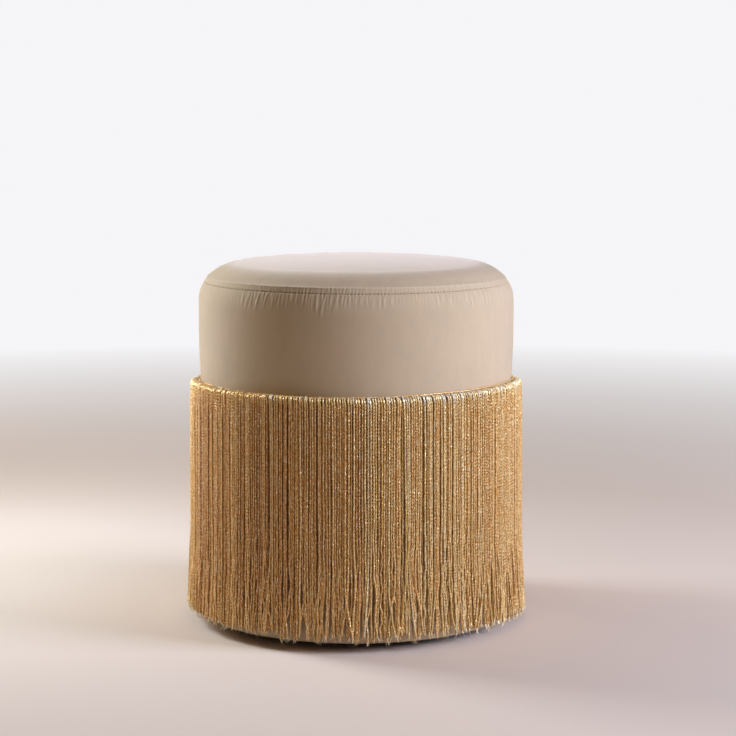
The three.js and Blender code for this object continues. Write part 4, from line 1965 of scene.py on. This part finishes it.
        # The loose fibres are pale, a painted highlight, with no painted valley shade.
        tones = self.random.uniform(*self.tip_tones, (count, 1, 1)) * np.ones((1, rows, sides))
        values = {"tone": tones, "ply": np.ones_like(tones)}
        faces = tube_faces(count, rows, sides)
        return make_piece("fringe_frayed_tips", points, faces, GOLD_CORD, values)

    def build(self) -> list[Object]:
        """Makes every piece of the fringe.

        Returns:
            The pieces, the tape first.
        """
        pieces = [self.heading.tape(), self.heading.line()]
        for layer, plan in self.plans.items():
            pieces += [self.part(layer, number) for number in range(plan.parts)]
        pieces.append(self.frayed_tips())
        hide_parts("fringe_front", "fringe_right", "fringe_back", "fringe_left")
        return pieces


@dataclass
class Padding:
    """The foam and wadding inside the cover."""

    outline: CoverOutline
    form: CoverForm
    cloth: float = 1.8 * MM
    wadding: float = 6 * MM
    fit: float = 0.3 * MM
    edge: float = 2.5 * MM
    wadding_edge: float = 1 * MM
    columns: int = 240
    crown_rings: int = 40
    foam_rough: float = 0.4 * MM
    wadding_rough: float = 0.5 * MM
    side_thickness: float = 8 * MM
    side_joint: float = 1.2 * MM
    side_columns: int = 241
    side_levels: int = 30
    side_edge_levels: int = 5
    seed: int = 3

    def turned(self, name: str, outline: Array, finish: Finish, rough: float) -> Object:
        """Turns a soft body about the axis, with slight unevenness pushed inwards.

        Args:
            name: Name of the piece.
            outline: Its (radius, height) points, from the top's middle round.
            finish: Its finish.
            rough: How deep its unevenness is.

        Returns:
            The piece.
        """
        random = np.random.default_rng(self.seed)
        angles = round_angles(self.columns)
        rings = []
        for radius, height in outline:
            if radius == 0:
                rings.append(np.array([[0.0, 0.0, height]]))
                continue
            dip = rough * random.random(self.columns)
            dip = (dip + np.roll(dip, 1) + np.roll(dip, -1)) / 3
            spot = np.stack([radius - dip, np.full(self.columns, height)], -1)
            rings.append(turned_points(spot, angles))
        piece = make_piece(name, *join_rings(rings), finish)
        return piece

    def crown(self, depth: float) -> Array:
        """The seat's outline under the cover, from its middle to the foot of the pad.

        Args:
            depth: How far under the cover's face it lies.

        Returns:
            Its (radius, height) points.
        """
        foot = self.outline.run_of_height(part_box("seat_foam")[0].z + self.edge)
        place, facing = self.outline.at(np.linspace(0, foot, self.crown_rings))
        shrunk = place - depth * facing
        shrunk[0, 0] = 0
        return shrunk

    def build(self) -> list[Object]:
        """Makes the foam pad, the wadding over it and the foam round the side.

        Returns:
            The three pieces.
        """
        foam_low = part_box("seat_foam")[0].z
        foam_top = self.crown(self.cloth + self.wadding + self.fit)
        pad = np.array([*foam_top, (foam_top[-1, 0] - self.edge, foam_low), (0, foam_low)])
        seat = self.turned("seat_foam_pad", pad, FOAM, self.foam_rough)
        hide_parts("seat_foam")
        outer, inner = self.crown(self.cloth), self.crown(self.cloth + self.wadding)
        rim = [(outer[-1, 0] - self.wadding_edge, foam_low), (inner[-1, 0] + self.wadding_edge, foam_low)]
        skin = np.array([*outer, *rim, *inner[::-1]])
        layer = self.turned("seat_wadding_layer", skin, WADDING, self.wadding_rough)
        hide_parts("seat_wadding")
        return [seat, layer, self.side_foam()]

    def side_foam(self) -> Object:
        """The foam sheet bent round the shell, open by a narrow joint at the back.

        Returns:
            The piece.
        """
        low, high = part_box("side_foam")
        outer = high.x
        inner = outer - self.side_thickness
        joint = BACK + self.side_joint / inner
        columns, levels = self.side_columns, self.side_levels
        angles = joint + np.linspace(0, 1, columns) * (FULL_TURN - 2 * (joint - BACK))
        heights = np.linspace(high.z, low.z, levels)
        rounded = self.edge * (1 - np.sqrt(1 - np.linspace(1, 0, self.side_edge_levels) ** 2))
        shrink = np.zeros(levels)
        shrink[: len(rounded)], shrink[-len(rounded) :] = rounded, rounded[::-1]
        dip = self.foam_rough * np.random.default_rng(self.seed).random((columns, levels))
        runs = np.array([self.outline.run_of_height(height) for height in heights])
        dip += self.form.waist(runs)[None]
        face = np.stack([outer - shrink - dip, np.broadcast_to(heights, dip.shape)], -1)
        back = np.stack([inner + shrink + 0 * dip, np.broadcast_to(heights, dip.shape)], -1)
        points = turned_points(np.concatenate([face, back[:, ::-1]], 1), angles[:, None])
        faces = tube_faces(1, columns, 2 * levels).flipped()
        piece = make_piece("side_foam_sheet", points, faces, FOAM)
        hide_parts("side_foam")
        return piece


@dataclass
class DrumFrame:
    """The boards, posts, shell and screws of the drum, and the glides and staples under it."""

    glides: int = 4

    def dress(self, prefix: str, finish: Finish) -> None:
        """Gives every CAD node whose name begins with a prefix its finish.

        Args:
            prefix: The start of the names.
            finish: The finish.
        """
        for name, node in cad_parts.items():
            if name.startswith(prefix):
                if not node.material_slots:
                    node.data.materials.append(None)
                for material_slot in node.material_slots:
                    material_slot.material = wear(finish)
                log.info("%s: wears %s", name, finish.name)

    def build(self) -> None:
        """Dresses every rigid node."""
        finishes = {
            "base_board": PLYWOOD,
            "seat_board": PLYWOOD,
            "post_": PINE,
            "shell_wall": HARDBOARD,
            "base_screw": ZINC,
            "seat_screw": ZINC,
            "glide_screw": ZINC,
            "staple_": ZINC,
        }
        finishes.update({f"glide_{number + 1}": BLACK_PLASTIC for number in range(self.glides)})
        for prefix, finish in finishes.items():
            self.dress(prefix, finish)


@dataclass
class DustCover:
    """The black nonwoven cloth stapled under the base, drawn in at each staple."""

    thickness: float = 0.6 * MM
    columns: int = 320
    staple_count: int = 16
    dimple: float = 0.3 * MM
    dimple_shares: tuple[float, float, float] = (0.5, 0.3, 0.2)
    rim_rise: float = 0.75 * MM
    clear: float = 0.1 * MM
    step_radius: float = 148.0 * MM
    step_before: float = 2 * MM
    step_ease: float = 3 * MM
    fold_start: float = 60 * MM
    fold_ease: float = 90 * MM
    broad_ripples: int = 3
    broad_phase: float = 1.0
    ripple_length: float = 23 * MM
    fine_ripples: int = 7
    fine_share: float = 0.4
    inside_rings_mm: Rings = (8, 142, 24)
    step_rings: Rings = (144 * MM, 149 * MM, 7)
    outside_start: float = 152 * MM
    outside_rings: int = 6
    rim_inset: float = 0.2 * MM

    def height(self, radius: Array, angles: Array) -> Array:
        """Height of the cloth's upper face, with slack between the staples.

        Args:
            radius: Distance from the axis, as (rings, 1).
            angles: Angles, as (1, columns).

        Returns:
            Heights as (rings, columns).
        """
        low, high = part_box("dust_cover")
        rim = low.z + self.rim_rise
        top = high.z - self.clear
        step = smooth_step((radius - self.step_radius + self.step_before) / self.step_ease)
        outward = smooth_step((radius - self.fold_start) / self.fold_ease)
        folds = np.cos(self.staple_count * angles) * outward
        broad = np.sin(self.broad_ripples * angles + self.broad_phase)
        fine = np.sin(self.fine_ripples * angles) * self.fine_share
        ripples = broad * np.sin(radius / self.ripple_length) + fine
        level, folded, rippled = self.dimple_shares
        slack = self.dimple * (level + folded * folds + rippled * ripples) * (1 - step)
        return top - (top - rim) * step - slack

    def build(self) -> Object:
        """Makes the cloth.

        Returns:
            The piece.
        """
        rim_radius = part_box("dust_cover")[1].x
        angles = round_angles(self.columns)[None]
        inside = np.linspace(*self.inside_rings_mm) * MM
        step = np.linspace(*self.step_rings)
        outside = np.linspace(self.outside_start, rim_radius - self.rim_inset, self.outside_rings)
        radius = np.concatenate([inside, step, outside])[:, None]
        upper = self.height(radius, angles)
        middle = float(upper[0].mean())
        top = turned_points(np.stack([radius + 0 * upper, upper], -1), angles)
        under = turned_points(np.stack([radius + 0 * upper, upper - self.thickness], -1), angles)
        first, last = (np.array([[0, 0, height]]) for height in (middle, middle - self.thickness))
        piece = make_piece("dust_cover_cloth", *join_rings([first, *top, *under[::-1], last]), DUST_CLOTH)
        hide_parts("dust_cover")
        return piece


@dataclass(frozen=True)
class Lamp:
    """A soft square lamp that points at the tuffet. Its angles are in degrees, from the camera's side."""

    name: str
    azimuth: float
    elevation: float
    distance: float
    size: float
    power: float
    colour: Colour

    def hang(self, aim: float) -> None:
        """Makes the lamp.

        Args:
            aim: Height of the place that it points at.
        """
        light = bpy.data.lights.new(self.name, "AREA")
        light.shape = "SQUARE"
        light.size = self.size
        light.energy = self.power
        light.color = self.colour
        made = put_in_scene(self.name, light)
        made.visible_camera = False
        turn, rise = math.radians(self.azimuth), math.radians(self.elevation)
        way = Vector((math.sin(turn) * math.cos(rise), -math.cos(turn) * math.cos(rise), math.sin(rise)))
        made.location = way * self.distance + Vector((0, 0, aim))
        made.rotation_euler = way.to_track_quat("Z", "Y").to_euler()


@dataclass
class Studio:
    """The camera, floor, background and lamps."""

    distance: float = 2.4
    height: float = 0.59
    pitch: float = math.radians(7.39)
    yaw: float = math.radians(0.315)
    lens: float = 105.8
    sensor: float = 36.0
    floor_radius: float = 7.0
    floor_columns: int = 64
    floor_colour: Colour = linear(226, 210, 198)
    floor_fades: Span = (0.8, 2.6)
    far_colour: Colour = linear(246, 245, 247)
    fill_colour: Colour = linear(255, 208, 132)
    ambient: float = 0.065
    aim: float = 0.2
    lamps: tuple[Lamp, ...] = (
        Lamp("key", 72, 21, 2.6, 1.1, 84, (0.7, 0.775, 1.0)),
        Lamp("window", -122, 22, 2.6, 1.3, 22, (1.0, 0.78, 0.52)),
        Lamp("rim", -113, 29, 0.98, 0.3, 8.4, (0.74, 0.88, 1.0)),
        Lamp("overhead", 35, 66, 2.4, 1.6, 8.2, (1.0, 0.87, 0.68)),
    )

    def camera(self) -> None:
        """Sets the camera at the photographed angle."""
        made = put_in_scene("camera", bpy.data.cameras.new("camera"))
        made.data.lens = self.lens
        made.data.sensor_width = self.sensor
        made.data.clip_end = 100
        made.location = (0, -self.distance, self.height)
        made.rotation_euler = (QUARTER_TURN - self.pitch, 0, -self.yaw)
        bpy.context.scene.camera = made

    def world(self) -> None:
        """A pale background that shows bright and lights softly."""
        world = bpy.data.worlds.new("studio")
        bpy.context.scene.world = world
        world.use_nodes = True
        tree = world.node_tree
        background = tree.nodes["Background"]
        background.inputs["Strength"].default_value = 1.0
        shade = tree.nodes.new("ShaderNodeMix")
        shade.data_type = "RGBA"
        fill = tuple(value * self.ambient for value in self.fill_colour)
        shade.inputs[MIX_FIRST].default_value = opaque(fill)
        shade.inputs[MIX_SECOND].default_value = opaque(self.far_colour)
        tree.links.new(seen_directly(tree), shade.inputs[MIX_FACTOR])
        tree.links.new(shade.outputs[MIX_RESULT], background.inputs["Color"])

    def floor(self) -> None:
        """A wide pale floor that turns into the background far off."""
        angles = round_angles(self.floor_columns)
        ring = np.stack([np.cos(angles), np.sin(angles), 0 * angles], -1) * self.floor_radius
        mesh = bpy.data.meshes.new("floor")
        mesh.from_pydata(ring.tolist(), [], [list(range(self.floor_columns))])
        made = put_in_scene("floor", mesh)
        recipe = Recipe("pale_floor")
        recipe.set(Base_Color=self.floor_colour, Roughness=0.75, Specular_IOR_Level=0.2)
        place = recipe.node("ShaderNodeTexCoord").outputs["Object"]
        away = recipe.node("ShaderNodeVectorMath", {0: place}, operation="LENGTH").outputs["Value"]
        far = recipe.levels(away, span=self.floor_fades)
        share = recipe.math("MULTIPLY", far, seen_directly(recipe.tree))
        glow = recipe.node("ShaderNodeEmission", {"Color": opaque(self.far_colour), "Strength": 1.0})
        sockets = {0: share, 1: recipe.shader.outputs[0], 2: glow.outputs[0]}
        blend = recipe.node("ShaderNodeMixShader", sockets)
        recipe.feed(recipe.tree.nodes["Material Output"].inputs["Surface"], blend.outputs[0])
        mesh.materials.append(recipe.material)

    def build(self) -> None:
        """Sets up everything round the tuffet."""
        self.camera()
        self.world()
        self.floor()
        for lamp in self.lamps:
            lamp.hang(self.aim)


def main() -> None:
    """Builds the tuffet's pieces in order."""
    logging.basicConfig(level=logging.INFO, format="%(message)s")
    bpy.context.scene.view_settings.view_transform = "Standard"
    Studio().build()
    outline = CoverOutline()
    heading = Heading(outline)
    fringe = Fringe(heading)
    form = CoverForm(outline, outline.run_of_height(heading.top - heading.pull_below))
    cover = VelvetCover(outline, form, SeamRelief(outline))
    Padding(outline, form).build()
    cover.top_panel()
    band = cover.side_band()
    stitches = cover.topstitch()
    trim = fringe.build()
    DrumFrame().build()
    DustCover().build()


if __name__ == "__main__":
    main()
